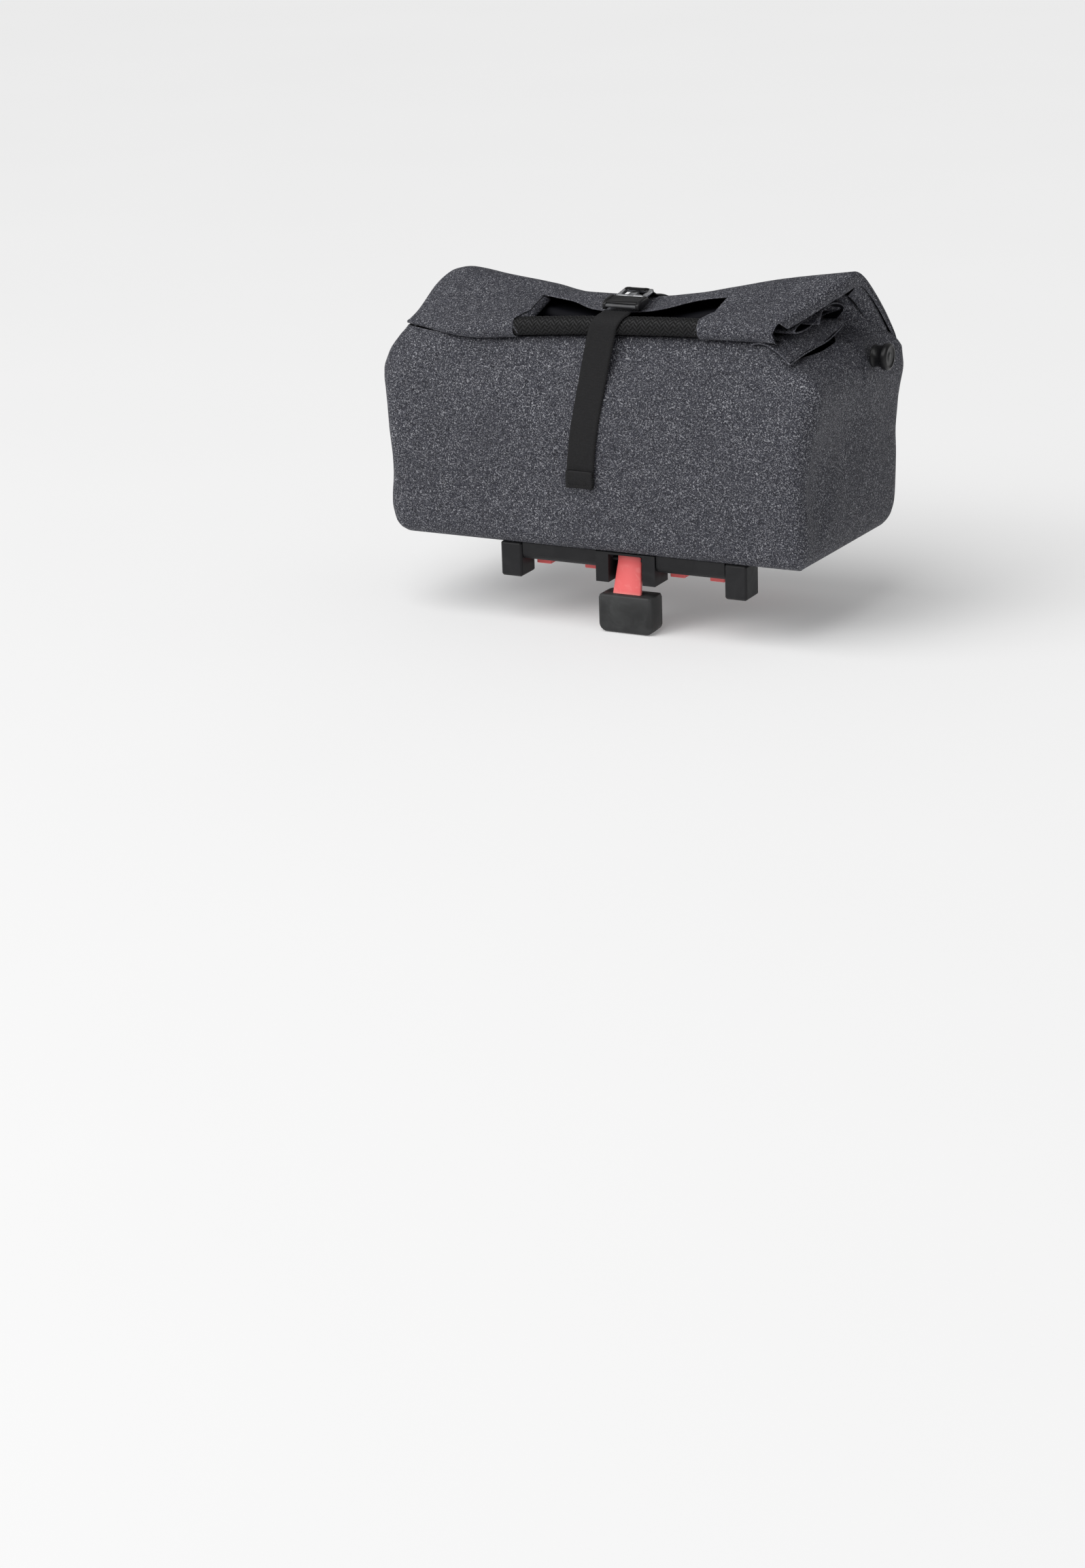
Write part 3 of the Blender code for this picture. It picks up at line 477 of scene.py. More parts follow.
class Workshop:
    """Turns points into pieces of the scene."""

    @staticmethod
    def piece(name: str, points: Sequence[Vector], faces: Sequence[Sequence[int]],
              materials: Sequence[Material], sides: Optional[Sequence[int]] = None,
              sharp: float = 45.0) -> Piece:
        """Make an object of points and faces.

        Args:
            name: Name of the piece.
            points: Its points in metres.
            faces: Point numbers of each face.
            materials: Its materials.
            sides: Material number of each face.
            sharp: Angle in degrees over which an edge stays sharp.

        Returns:
            The object, linked to the scene.
        """
        mesh = bpy.data.meshes.new(name)
        mesh.from_pydata([tuple(point) for point in points], [], [tuple(face) for face in faces])
        for material in materials:
            mesh.materials.append(material)
        if sides is not None:
            mesh.polygons.foreach_set("material_index", sides)
        mesh.shade_smooth()
        mesh.set_sharp_from_angle(angle=math.radians(sharp))
        mesh.update()
        made = bpy.data.objects.new(name, mesh)
        bpy.context.scene.collection.objects.link(made)
        return made

    @staticmethod
    def sheet(name: str, rows: Grid, wall: float, outer: Material, inner: Material,
              kept: Optional[Callable[[int, int], bool]] = None, ring: bool = False) -> Piece:
        """Closed sheet of even thickness with rounded rims behind a grid of points.

        Args:
            name: Name of the piece.
            rows: Grid of points on the outer side; a row crossed with a column points out.
            wall: Thickness of the sheet.
            outer: Material of the outer side and the rims.
            inner: Material of the inner side.
            kept: Says which cells of the grid are cloth.
            ring: Whether each row closes on itself, with a floor under the first one.

        Returns:
            The object.
        """
        height, width = len(rows), len(rows[0])
        front: list[Vector] = []
        normals: list[Vector] = []
        for r in range(height):
            for c in range(width):
                after = (c + 1) % width if ring else min(c + 1, width - 1)
                before = (c - 1) % width if ring else max(c - 1, 0)
                run = rows[r][after] - rows[r][before]
                rise = rows[min(r + 1, height - 1)][c] - rows[max(r - 1, 0)][c]
                front.append(rows[r][c])
                normals.append(run.cross(rise).normalized())
        count = len(front)
        points = front + [p - n * wall for p, n in zip(front, normals)]
        faces: Faces = []
        sides: list[int] = []
        edges: set[tuple[int, int]] = set()
        for r in range(height - 1):
            for c in range(width if ring else width - 1):
                if kept and not kept(r, c):
                    continue
                after = (c + 1) % width
                cell = (r * width + c, r * width + after, (r + 1) * width + after, (r + 1) * width + c)
                faces += [cell, tuple(count + index for index in reversed(cell))]
                sides += [0, 1]
                edges.update(zip(cell, cell[1:] + cell[:1]))
        if ring:
            floor = tuple(reversed(range(width)))
            faces += [floor, tuple(count + index for index in reversed(floor))]
            sides += [0, 1]
            edges.update(zip(floor, floor[1:] + floor[:1]))
        rim = [edge for edge in sorted(edges) if (edge[1], edge[0]) not in edges]
        outward: dict[int, Vector] = {}
        for start, end in rim:
            run = (front[end] - front[start]).normalized()
            for index in (start, end):
                outward[index] = outward.get(index, Vector()) + run.cross(normals[index])
        middle: dict[int, int] = {}
        for index, direction in outward.items():
            middle[index] = len(points)
            points.append(front[index] - normals[index] * wall / 2 + direction.normalized() * wall * 0.45)
        for start, end in rim:
            faces += [(start, middle[start], middle[end], end),
                      (middle[start], count + start, count + end, middle[end])]
            sides += [0, 0]
        made = Workshop.piece(name, points, faces, [outer, inner], sides, 80.0)
        Workshop.measure_cloth(made, rows, count, middle)
        Workshop.drop_loose(made)
        return made

    @staticmethod
    def measure_cloth(made: Piece, rows: Grid, count: int, middle: dict[int, int]) -> None:
        """Lay the cloth's own lengths out as its UV map, in metres."""
        width = len(rows[0])
        along = [0.0]
        for low, high in zip(rows, rows[1:]):
            along.append(along[-1] + (high[width // 2] - low[width // 2]).length)
        centre = rows[len(rows) // 2]
        across = [0.0]
        for left, right in zip(centre, centre[1:]):
            across.append(across[-1] + (right - left).length)
        place = {index: (across[index % width], along[index // width]) for index in range(count)}
        place.update({count + index: value for index, value in list(place.items())})
        place.update({index: place[start] for start, index in middle.items()})
        layer = made.data.uv_layers.new(name="lengths")
        for loop in made.data.loops:
            layer.data[loop.index].uv = place[loop.vertex_index]

    @staticmethod
    def declare(made: Piece, rows: Grid, area: Optional[float] = None,
                hems: Sequence[Piece] = ()) -> None:
        """Work out how large a sheet lies flat; the result is not kept.

        Args:
            made: The piece; not used.
            rows: Grid of points that it was made from.
            area: Area of its cloth in square metres where it has a hole.
            hems: Narrow pieces of the same cloth; not used.
        """
        if area is None:
            area = Workshop.cloth_area(rows)

    @staticmethod
    def cloth_area(rows: Grid, kept: Optional[Callable[[int, int], bool]] = None) -> float:
        """Area of the cells of a grid that are cloth."""
        total = 0.0
        for r in range(len(rows) - 1):
            for c in range(len(rows[0]) - 1):
                if kept and not kept(r, c):
                    continue
                first = (rows[r + 1][c + 1] - rows[r][c]).cross(rows[r + 1][c] - rows[r][c + 1])
                total += first.length / 2
        return total

    @staticmethod
    def drop_loose(made: Piece) -> None:
        """Take out points that belong to no face."""
        work = bmesh.new()
        work.from_mesh(made.data)
        bmesh.ops.delete(work, geom=[v for v in work.verts if not v.link_faces], context="VERTS")
        work.to_mesh(made.data)
        work.free()

    @staticmethod
    def loft(name: str, rings: Sequence[Sequence[Vector]], material: Material,
             sharp: float = 45.0) -> Piece:
        """Closed solid through rings of points, capped at both ends.

        Args:
            name: Name of the piece.
            rings: Rings of as many points each.
            material: Its material.
            sharp: Angle in degrees above which edges stay sharp.

        Returns:
            The piece.
        """
        count = len(rings[0])
        faces: Faces = []
        for row in range(len(rings) - 1):
            for column in range(count):
                after = (column + 1) % count
                faces.append((row * count + column, row * count + after,
                              (row + 1) * count + after, (row + 1) * count + column))
        faces.append(tuple(reversed(range(count))))
        faces.append(tuple(range((len(rings) - 1) * count, len(rings) * count)))
        made = Workshop.piece(name, [p for ring in rings for p in ring], faces, [material], None, sharp)
        work = bmesh.new()
        work.from_mesh(made.data)
        bmesh.ops.recalc_face_normals(work, faces=work.faces)
        work.to_mesh(made.data)
        work.free()
        return made

    @staticmethod
    def soften(made: Piece, width: float, segments: int = 3, angle: float = 35.0) -> Piece:
        """Round a piece's edges."""
        weld = made.modifiers.new("weld", "WELD")
        weld.merge_threshold = 0.00001
        bevel = made.modifiers.new("edges", "BEVEL")
        bevel.width = width
        bevel.segments = segments
        bevel.limit_method = "ANGLE"
        bevel.angle_limit = math.radians(angle)
        bevel.harden_normals = True
        return made

    @staticmethod
    def stitches(name: str, runs: Sequence[Sequence[Vector]], normals: Sequence[Vector],
                 material: Material, pitch: float = 0.0030, radius: float = 0.00032) -> Piece:
        """Sewn thread along polylines, as one piece of short raised stitches.

        Args:
            name: Name of the piece.
            runs: Polylines that the seams follow.
            normals: Direction out of the cloth for each polyline.
            material: Thread.
            pitch: Length of a stitch with its gap.
            radius: Half the thread's thickness.

        Returns:
            The object.
        """
        points: list[Vector] = []
        faces: Faces = []
        for run, normal in zip(runs, normals):
            lengths = [0.0]
            for start, end in zip(run, run[1:]):
                lengths.append(lengths[-1] + (end - start).length)
            count = max(1, round(lengths[-1] / pitch))
            for index in range(count):
                low = Workshop.at_length(run, lengths, (index + 0.12) / count * lengths[-1])
                high = Workshop.at_length(run, lengths, (index + 0.88) / count * lengths[-1])
                Workshop.add_stitch(points, faces, low, high, normal, radius)
        return Workshop.piece(name, points, faces, [material], None, 80.0)

    @staticmethod
    def at_length(run: Sequence[Vector], lengths: Sequence[float], length: float) -> Vector:
        """Point of a polyline at a length from its start."""
        for index in range(len(run) - 1):
            if length <= lengths[index + 1] or index == len(run) - 2:
                part = (length - lengths[index]) / max(1e-9, lengths[index + 1] - lengths[index])
                return run[index].lerp(run[index + 1], part)
        return run[-1]

    @staticmethod
    def add_stitch(points: list[Vector], faces: Faces, low: Vector, high: Vector,
                   normal: Vector, radius: float) -> None:
        """Add one stitch: a short thread that rises out of the cloth and dips back.

        Args:
            points: Points so far, added to.
            faces: Faces so far, added to.
            low: Where the thread starts.
            high: Where it ends.
            normal: Direction out of the cloth.
            radius: Radius of the thread.
        """
        run = (high - low).normalized()
        side = run.cross(normal).normalized()
        base = len(points)
        count = 6
        profile = ((0.0, 0.35, -0.6), (0.2, 0.9, 0.25), (0.5, 1.0, 0.6), (0.8, 0.9, 0.25), (1.0, 0.35, -0.6))
        for share, size, lift in profile:
            centre = low.lerp(high, share) + normal * radius * lift
            for step in range(count):
                angle = math.tau * step / count
                out = side * math.cos(angle) + normal * math.sin(angle)
                points.append(centre + out * radius * size)
        for ring in range(len(profile) - 1):
            start = base + ring * count
            for step in range(count):
                after = (step + 1) % count
                faces.append((start + step, start + count + step, start + count + after, start + after))
        faces.append(tuple(base + step for step in range(count)))
        last = base + (len(profile) - 1) * count
        faces.append(tuple(last + step for step in reversed(range(count))))

    @staticmethod
    def settle(made: Piece, slot: Slot, body: Body = Body.BAG,
               nodes: Sequence[str] = ()) -> Piece:
        """Put a piece on its body and let it stand for solids.

        Args:
            made: The piece.
            slot: Material slot that it takes its finish from; not used.
            body: Body that it rides on.
            nodes: Solids that it stands for.

        Returns:
            The piece.
        """
        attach(made, body.value)
        if nodes:
            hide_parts(*nodes)
        LOG.info("%s: %d faces, on %s", made.name, len(made.data.polygons), body.value)
        return made


@dataclass(frozen=True)
class Dent:
    """Soft hollow, or with a negative depth a swelling, in the cloth."""

    centre: tuple[float, float, float]
    reach: tuple[float, float, float]
    depth: float

    def offset(self, point: Vector) -> float:
        """How far the cloth moves out at a point."""
        total = sum(((a - b) / c) ** 2 for a, b, c in zip(point, self.centre, self.reach))
        return -self.depth * math.exp(-total)


@dataclass(frozen=True)
class Crease:
    """Raised, or with a negative height sunken, line in the cloth."""

    start: tuple[float, float, float]
    end: tuple[float, float, float]
    width: float
    height: float

    def offset(self, point: Vector) -> float:
        """How far the cloth moves out at a point."""
        start = Vector(self.start)
        run = Vector(self.end) - start
        share = (point - start).dot(run) / run.length_squared
        if not -0.2 < share < 1.2:
            return 0.0
        away = (point - start - run * min(max(share, 0.0), 1.0)).length / self.width
        fade = eased(share, -0.2, 0.1) * (1 - eased(share, 0.9, 1.2))
        return self.height * fade * math.exp(-away * away)


@dataclass(frozen=True)
class BagForm:
    """Shape of the closed bag: its walls, its mouth and its sloping top."""

    floor_z: float = 0.0202
    front_x: float = -0.1970
    rear_x: float = 0.1575
    depth: float = 0.1680
    shift_y: float = 0.0020
    shoulder: float = 0.1320
    rear_skew: float = 0.0055
    corner_radii: tuple[float, ...] = (0.022, 0.012, 0.020, 0.024)
    handle_radius: float = 0.0064
    roll_radius: float = 0.0079
    roll_proud: float = 0.0035
    hem_front: float = 0.1495
    hem_rear: float = 0.1645
    roll_front_x: float = -0.1390
    roll_rear_x: float = 0.1280
    ridge_round: float = 0.0060
    window_left: float = -0.0790
    window_right: float = 0.0690
    window_reach: float = 0.0320
    strap_x: float = 0.0010
    walls: Table = (
        (0.000, 0.075, 0.062, 0.050), (0.025, 0.045, 0.044, 0.022), (0.065, 0.020, 0.026, 0.006),
        (0.150, 0.000, 0.012, 0.000), (0.290, 0.003, 0.009, -0.009), (0.490, 0.016, 0.006, -0.020),
        (0.690, 0.026, -0.006, -0.024), (0.820, 0.006, -0.022, -0.018), (0.930, -0.006, -0.036, -0.009),
        (1.010, 0.018, -0.030, 0.004), (1.090, 0.066, -0.010, 0.012), (1.180, 0.130, 0.024, 0.022),
        (1.440, 0.180, 0.090, 0.040),
    )
    ridge_line: Table = (
        (0.000, 1.130, -0.220), (0.048, 1.230, -0.200), (0.072, 1.370, -0.140), (0.096, 1.428, -0.090),
        (0.140, 1.450, -0.100), (0.230, 1.430, -0.130), (0.340, 1.400, -0.150), (0.420, 1.366, -0.150),
        (0.560, 1.372, -0.150), (0.680, 1.405, -0.150), (0.760, 1.450, -0.140), (0.860, 1.500, -0.100),
        (0.940, 1.525, -0.050), (1.000, 1.540, -0.010),
    )
    front_ends: Table = (
        (0.00, 0.052), (0.07, 0.022), (0.33, 0.055), (0.65, 0.0917), (0.79, 0.0635), (0.90, 0.0564),
        (1.00, 0.0450),
    )
    rear_ends: Table = (
        (0.00, 0.040), (0.07, 0.012), (0.30, 0.004), (0.58, 0.012), (0.70, 0.032), (0.86, 0.062),
        (0.95, 0.078), (1.00, 0.086),
    )
    roof_clear: tuple[float, float] = (0.0040, 0.0022)
    fold_shares: tuple[float, float] = (1.240, 1.146)
    pocket_shares: tuple[float, float] = (1.143, 1.184)
    front_share: float = 1.164
    saddle_depth: float = 0.004
    flat_from: float = 0.1370
    flat_length: float = 0.0440
    flat_shift: float = 0.0204
    flat_z: float = 0.1793
    flat_drop: float = 0.0027

    @property
    def near_y(self) -> float:
        """Near side of the bag."""
        return self.shift_y - self.depth / 2

    @property
    def far_y(self) -> float:
        """Far side of the bag."""
        return self.shift_y + self.depth / 2

    @property
    def roll_y(self) -> float:
        """Axis of the roll and the handle."""
        return self.near_y + self.roll_radius - self.roll_proud

    @property
    def length(self) -> float:
        """Length of the bag."""
        return self.rear_x - self.front_x

    def hem_z(self, x: float) -> float:
        """Height of the roll's lower edge."""
        share = min(1.0, max(-0.20, (x - self.roll_front_x) / (self.roll_rear_x - self.roll_front_x)))
        return self.floor_z + lerp(self.hem_front, self.hem_rear, 1 - (1 - share) ** 2)

    def roll_z(self, x: float) -> float:
        """Height of the handle's axis."""
        return self.hem_z(x) + self.roll_radius

    def roll_at(self, x: float) -> tuple[float, float, float]:
        """Axis (y, z) and radius of the roll, which flattens and turns back at the front end."""
        pinch = eased(-x, self.flat_from - 0.037, self.flat_from + 0.003)
        flat = min(1.0, max(0.0, (-x - self.flat_from) / self.flat_length))
        y = self.roll_y + 0.0008 * pinch + self.flat_shift * flat
        z = lerp(self.roll_z(x), self.flat_z, pinch) - self.flat_drop * flat
        return y, z, lerp(lerp(self.roll_radius, 0.0050, pinch), 0.0016, flat)

    def ridge(self, x: float) -> tuple[float, float]:
        """Place in y and height of the ridge."""
        share = (x - self.front_x) / self.length
        height = self.floor_z + self.shoulder * looked_up(self.ridge_line, share, 1)
        return self.shift_y + self.depth * looked_up(self.ridge_line, share, 2), height

    def slope(self, x: float) -> float:
        """Slope of the flap between the roll and the ridge."""
        ridge_y, ridge_z = self.ridge(x)
        roll_y, roll_z, radius = self.roll_at(x)
        top = roll_z + radius * 0.85
        return (ridge_z + self.ridge_round * 0.7 - top) / (ridge_y - roll_y + radius * 0.5)

    def roof_z(self, x: float, y: float) -> float:
        """Height of the closed top."""
        ridge_y, ridge_z = self.ridge(x)
        peak = ridge_z + self.ridge_round * 0.7
        near = peak - self.slope(x) * (ridge_y - y)
        far = peak - (peak - self.floor_z - self.shoulder) * (y - ridge_y) / (self.far_y - ridge_y)
        across = (x - self.strap_x) / 0.035
        behind = (y - self.roll_y - self.window_reach) / 0.022
        dent = self.saddle_depth * math.exp(-across * across - behind * behind)
        low = min(near, far) - dent
        both = sum(math.exp((low - side + dent) / self.ridge_round) for side in (near, far))
        return low - self.ridge_round * math.log(both)

    def rim_z(self, x: float, y: float) -> float:
        """Top edge of the walls, just under the flap and the roll."""
        at_end = eased(abs(x + 0.005), 0.120, 0.150)
        under_roof = self.roof_z(x, y) - lerp(*self.roof_clear, at_end)
        roll_y, roll_z, radius = self.roll_at(x)
        under_roll = roll_z - radius - TOUCH
        start = roll_y + radius
        height = lerp(under_roll, under_roof, eased(y, start, start + self.roll_radius * 3))
        pocket = lerp(*self.pocket_shares, eased(y, -0.040, 0.004))
        fold = lerp(*self.fold_shares, min(1.0, max(0.0, (x - 0.131) / 0.020)))
        pocket = self.floor_z + self.shoulder * lerp(fold, pocket, eased(y - self.near_y, 0.008, 0.020))
        at_rear = eased(x - self.roll_rear_x, -0.012, 0.010)
        rear = at_rear * (1 - eased(y, -0.004, 0.006))
        front = eased(self.roll_front_x - x, 0.004, 0.022) * (1 - eased(y - self.near_y, 0.016, 0.036))
        height -= 0.0035 * at_rear * eased(y, -0.004, 0.006) * (1 - eased(y, 0.060, 0.084))
        height = min(height, lerp(height, pocket, rear))
        return min(height, lerp(height, self.floor_z + self.shoulder * self.front_share, front))

    def inset(self, height: float, normal: Vector) -> float:
        """How far the wall stands inside the plan outline at a height above the floor."""
        share = height / self.shoulder
        front, rear, side = (looked_up(self.walls, share, column) for column in (1, 2, 3))
        end = front if normal.x < 0 else rear
        return self.depth * (end * normal.x ** 2 + side * normal.y ** 2)

    def outline(self, steps: Sequence[int], corner_steps: int) -> list[tuple[Vector, Vector]]:
        """Points and outward normals of the plan outline, counter-clockwise.

        Args:
            steps: Number of steps along each of the four sides.
            corner_steps: Number of steps around each corner.

        Returns:
            Pairs of a point and a normal.
        """
        near_front, near_rear, far_rear, far_front = self.corner_radii
        corners = (
            (self.front_x + near_front, self.near_y + near_front, near_front, 180),
            (self.rear_x - near_rear - self.rear_skew, self.near_y + near_rear, near_rear, 270),
            (self.rear_x - far_rear, self.far_y - far_rear, far_rear, 0),
            (self.front_x + far_front, self.far_y - far_front, far_front, 90),
        )
        found: list[tuple[Vector, Vector]] = []
        for index, (x, y, radius, start) in enumerate(corners):
            for step in range(corner_steps + 1):
                angle = math.radians(start + 90 * step / corner_steps)
                normal = Vector((math.cos(angle), math.sin(angle), 0))
                found.append((Vector((x, y, 0)) + normal * radius, normal))
            after = corners[(index + 1) % 4]
            angle = math.radians(start + 90)
            normal = Vector((math.cos(angle), math.sin(angle), 0))
            first = Vector((x, y, 0)) + normal * radius
            last = Vector((after[0], after[1], 0)) + normal * after[2]
            for step in range(1, steps[index]):
                found.append((first.lerp(last, step / steps[index]), normal))
        return found


@dataclass
class BagWalls:
    """Walls and floor of the bag, with their dents, creases and corner seams."""

    form: BagForm
    looks: Finishes
    wall: float = 0.0016
    side_steps: tuple[int, ...] = (120, 56, 100, 50)
    corner_steps: int = 12
    levels: int = 66
    ripple: float = 0.0009
    lip_shift: float = 0.0125
    lip_curl: float = 0.0026
    pocket_depth: float = 0.0200
    front_curl: float = 0.0160
    dents: tuple[Dent, ...] = (
        Dent((0.156, -0.060, 0.072), (0.016, 0.024, 0.030), 0.0062),
        Dent((0.158, -0.020, 0.112), (0.020, 0.034, 0.030), 0.0032),
        Dent((0.160, 0.040, 0.070), (0.020, 0.030, 0.026), -0.0016),
        Dent((-0.196, -0.066, 0.072), (0.012, 0.020, 0.024), 0.0034),
        Dent((-0.190, 0.020, 0.110), (0.020, 0.040, 0.030), 0.0030),
        Dent((-0.120, -0.084, 0.052), (0.040, 0.02, 0.018), 0.0012),
        Dent((0.100, -0.084, 0.120), (0.030, 0.02, 0.040), 0.0013),
        Dent((0.020, 0.088, 0.090), (0.090, 0.02, 0.040), 0.0022),
        Dent((0.060, -0.084, 0.160), (0.045, 0.02, 0.018), -0.0010),
    )
    creases: tuple[Crease, ...] = (
        Crease((0.1395, -0.0815, 0.1695), (0.1535, -0.0640, 0.1560), 0.0030, 0.0016),
        Crease((0.1500, -0.0790, 0.1560), (0.1490, -0.0790, 0.0600), 0.0011, -0.0006),
        Crease((0.1550, -0.0400, 0.1600), (0.1580, 0.0100, 0.1500), 0.0080, 0.0010),
        Crease((0.1530, -0.0700, 0.0900), (0.1560, -0.0200, 0.0520), 0.0050, 0.0014),
        Crease((0.1400, -0.0600, 0.0300), (0.1580, -0.0300, 0.0560), 0.0040, 0.0014),
        Crease((-0.1950, -0.0600, 0.0500), (-0.1900, -0.0720, 0.1000), 0.0040, 0.0014),
        Crease((-0.1750, -0.0810, 0.1500), (-0.1450, -0.0810, 0.1620), 0.0050, 0.0012),
        Crease((-0.1900, -0.0700, 0.1350), (-0.1700, -0.0810, 0.1480), 0.0060, 0.0012),
        Crease((0.1100, -0.0850, 0.1680), (0.1380, -0.0830, 0.1500), 0.0070, 0.0011),
    )

    def relief(self, point: Vector, height: float) -> float:
        """How far the cloth stands out from the plain form at a point."""
        calm = eased(height, 0.0, 0.12) * (1 - eased(height, 0.9, 1.0))
        wave = noise.noise(point * 21.0) * 0.7 + noise.noise(point * 47.0 + Vector((3, 1, 7))) * 0.3
        out = self.ripple * wave * 2 * calm
        out += sum(dent.offset(point) for dent in self.dents)
        out += sum(crease.offset(point) for crease in self.creases)
        return out

    def pocket(self, place: Vector) -> float:
        """How far, from 0 to 1, the rear gable's near edge turns into the mouth."""
        edge = lerp(0.0220, 0.0030, (place.z - 0.177) / 0.028)
        turned = eased(edge - place.y, -0.010, 0.009) * eased(place.y, -0.016, -0.004)
        return turned * eased(place.z, 0.170, 0.186)

    def rows(self) -> Grid:
        """Grid of points from the middle of the floor up to the rim."""
        form = self.form
        outline = form.outline(self.side_steps, self.corner_steps)
        walls: Grid = []
        for step in range(self.levels + 1):
            level = step / self.levels
            share = 0.35 * level + 0.65 * level ** 1.3
            row = []
            for point, normal in outline:
                top = form.rim_z(point.x, point.y)
                for _ in range(3):
                    lean = point - normal * form.inset(top - form.floor_z, normal)
                    top = form.rim_z(lean.x, lean.y)
                z = lerp(form.floor_z, top, share)
                place = Vector((point.x, point.y, z)) - normal * form.inset(z - form.floor_z, normal)
                if point.x > 0.1:
                    pulled = eased(z, 0.154, 0.171) * (1 - eased(point.y, form.near_y + 0.004, 0.012))
                    place.x -= self.lip_shift * pulled * eased(point.x, 0.105, 0.1425)
                    place.x -= self.pocket_depth * self.pocket(place) * max(0.0, normal.x)
                rolled = eased(z, 0.158, 0.174) * eased(-place.x, 0.138, 0.184)
                place.y += self.front_curl * rolled * max(0.0, -normal.y)
                place -= normal * self.lip_curl * eased(share, 0.955, 1.0) ** 2
                row.append(place + normal * self.relief(place, share))
            walls.append(row)
        middle = Vector((sum(p.x for p in walls[0]) / len(walls[0]), form.shift_y, form.floor_z))
        floors = [[middle.lerp(point, 0.10 + 0.90 * step / 12) for point in walls[0]] for step in range(12)]
        return floors + walls

    def build(self) -> None:
        """Make the walls."""
        looks = self.looks
        made = Workshop.sheet("bag_walls", self.rows(), self.wall, looks.cloth, looks.lining, ring=True)
        Workshop.settle(made, Slot.CLOTH, nodes=("bag_body",))


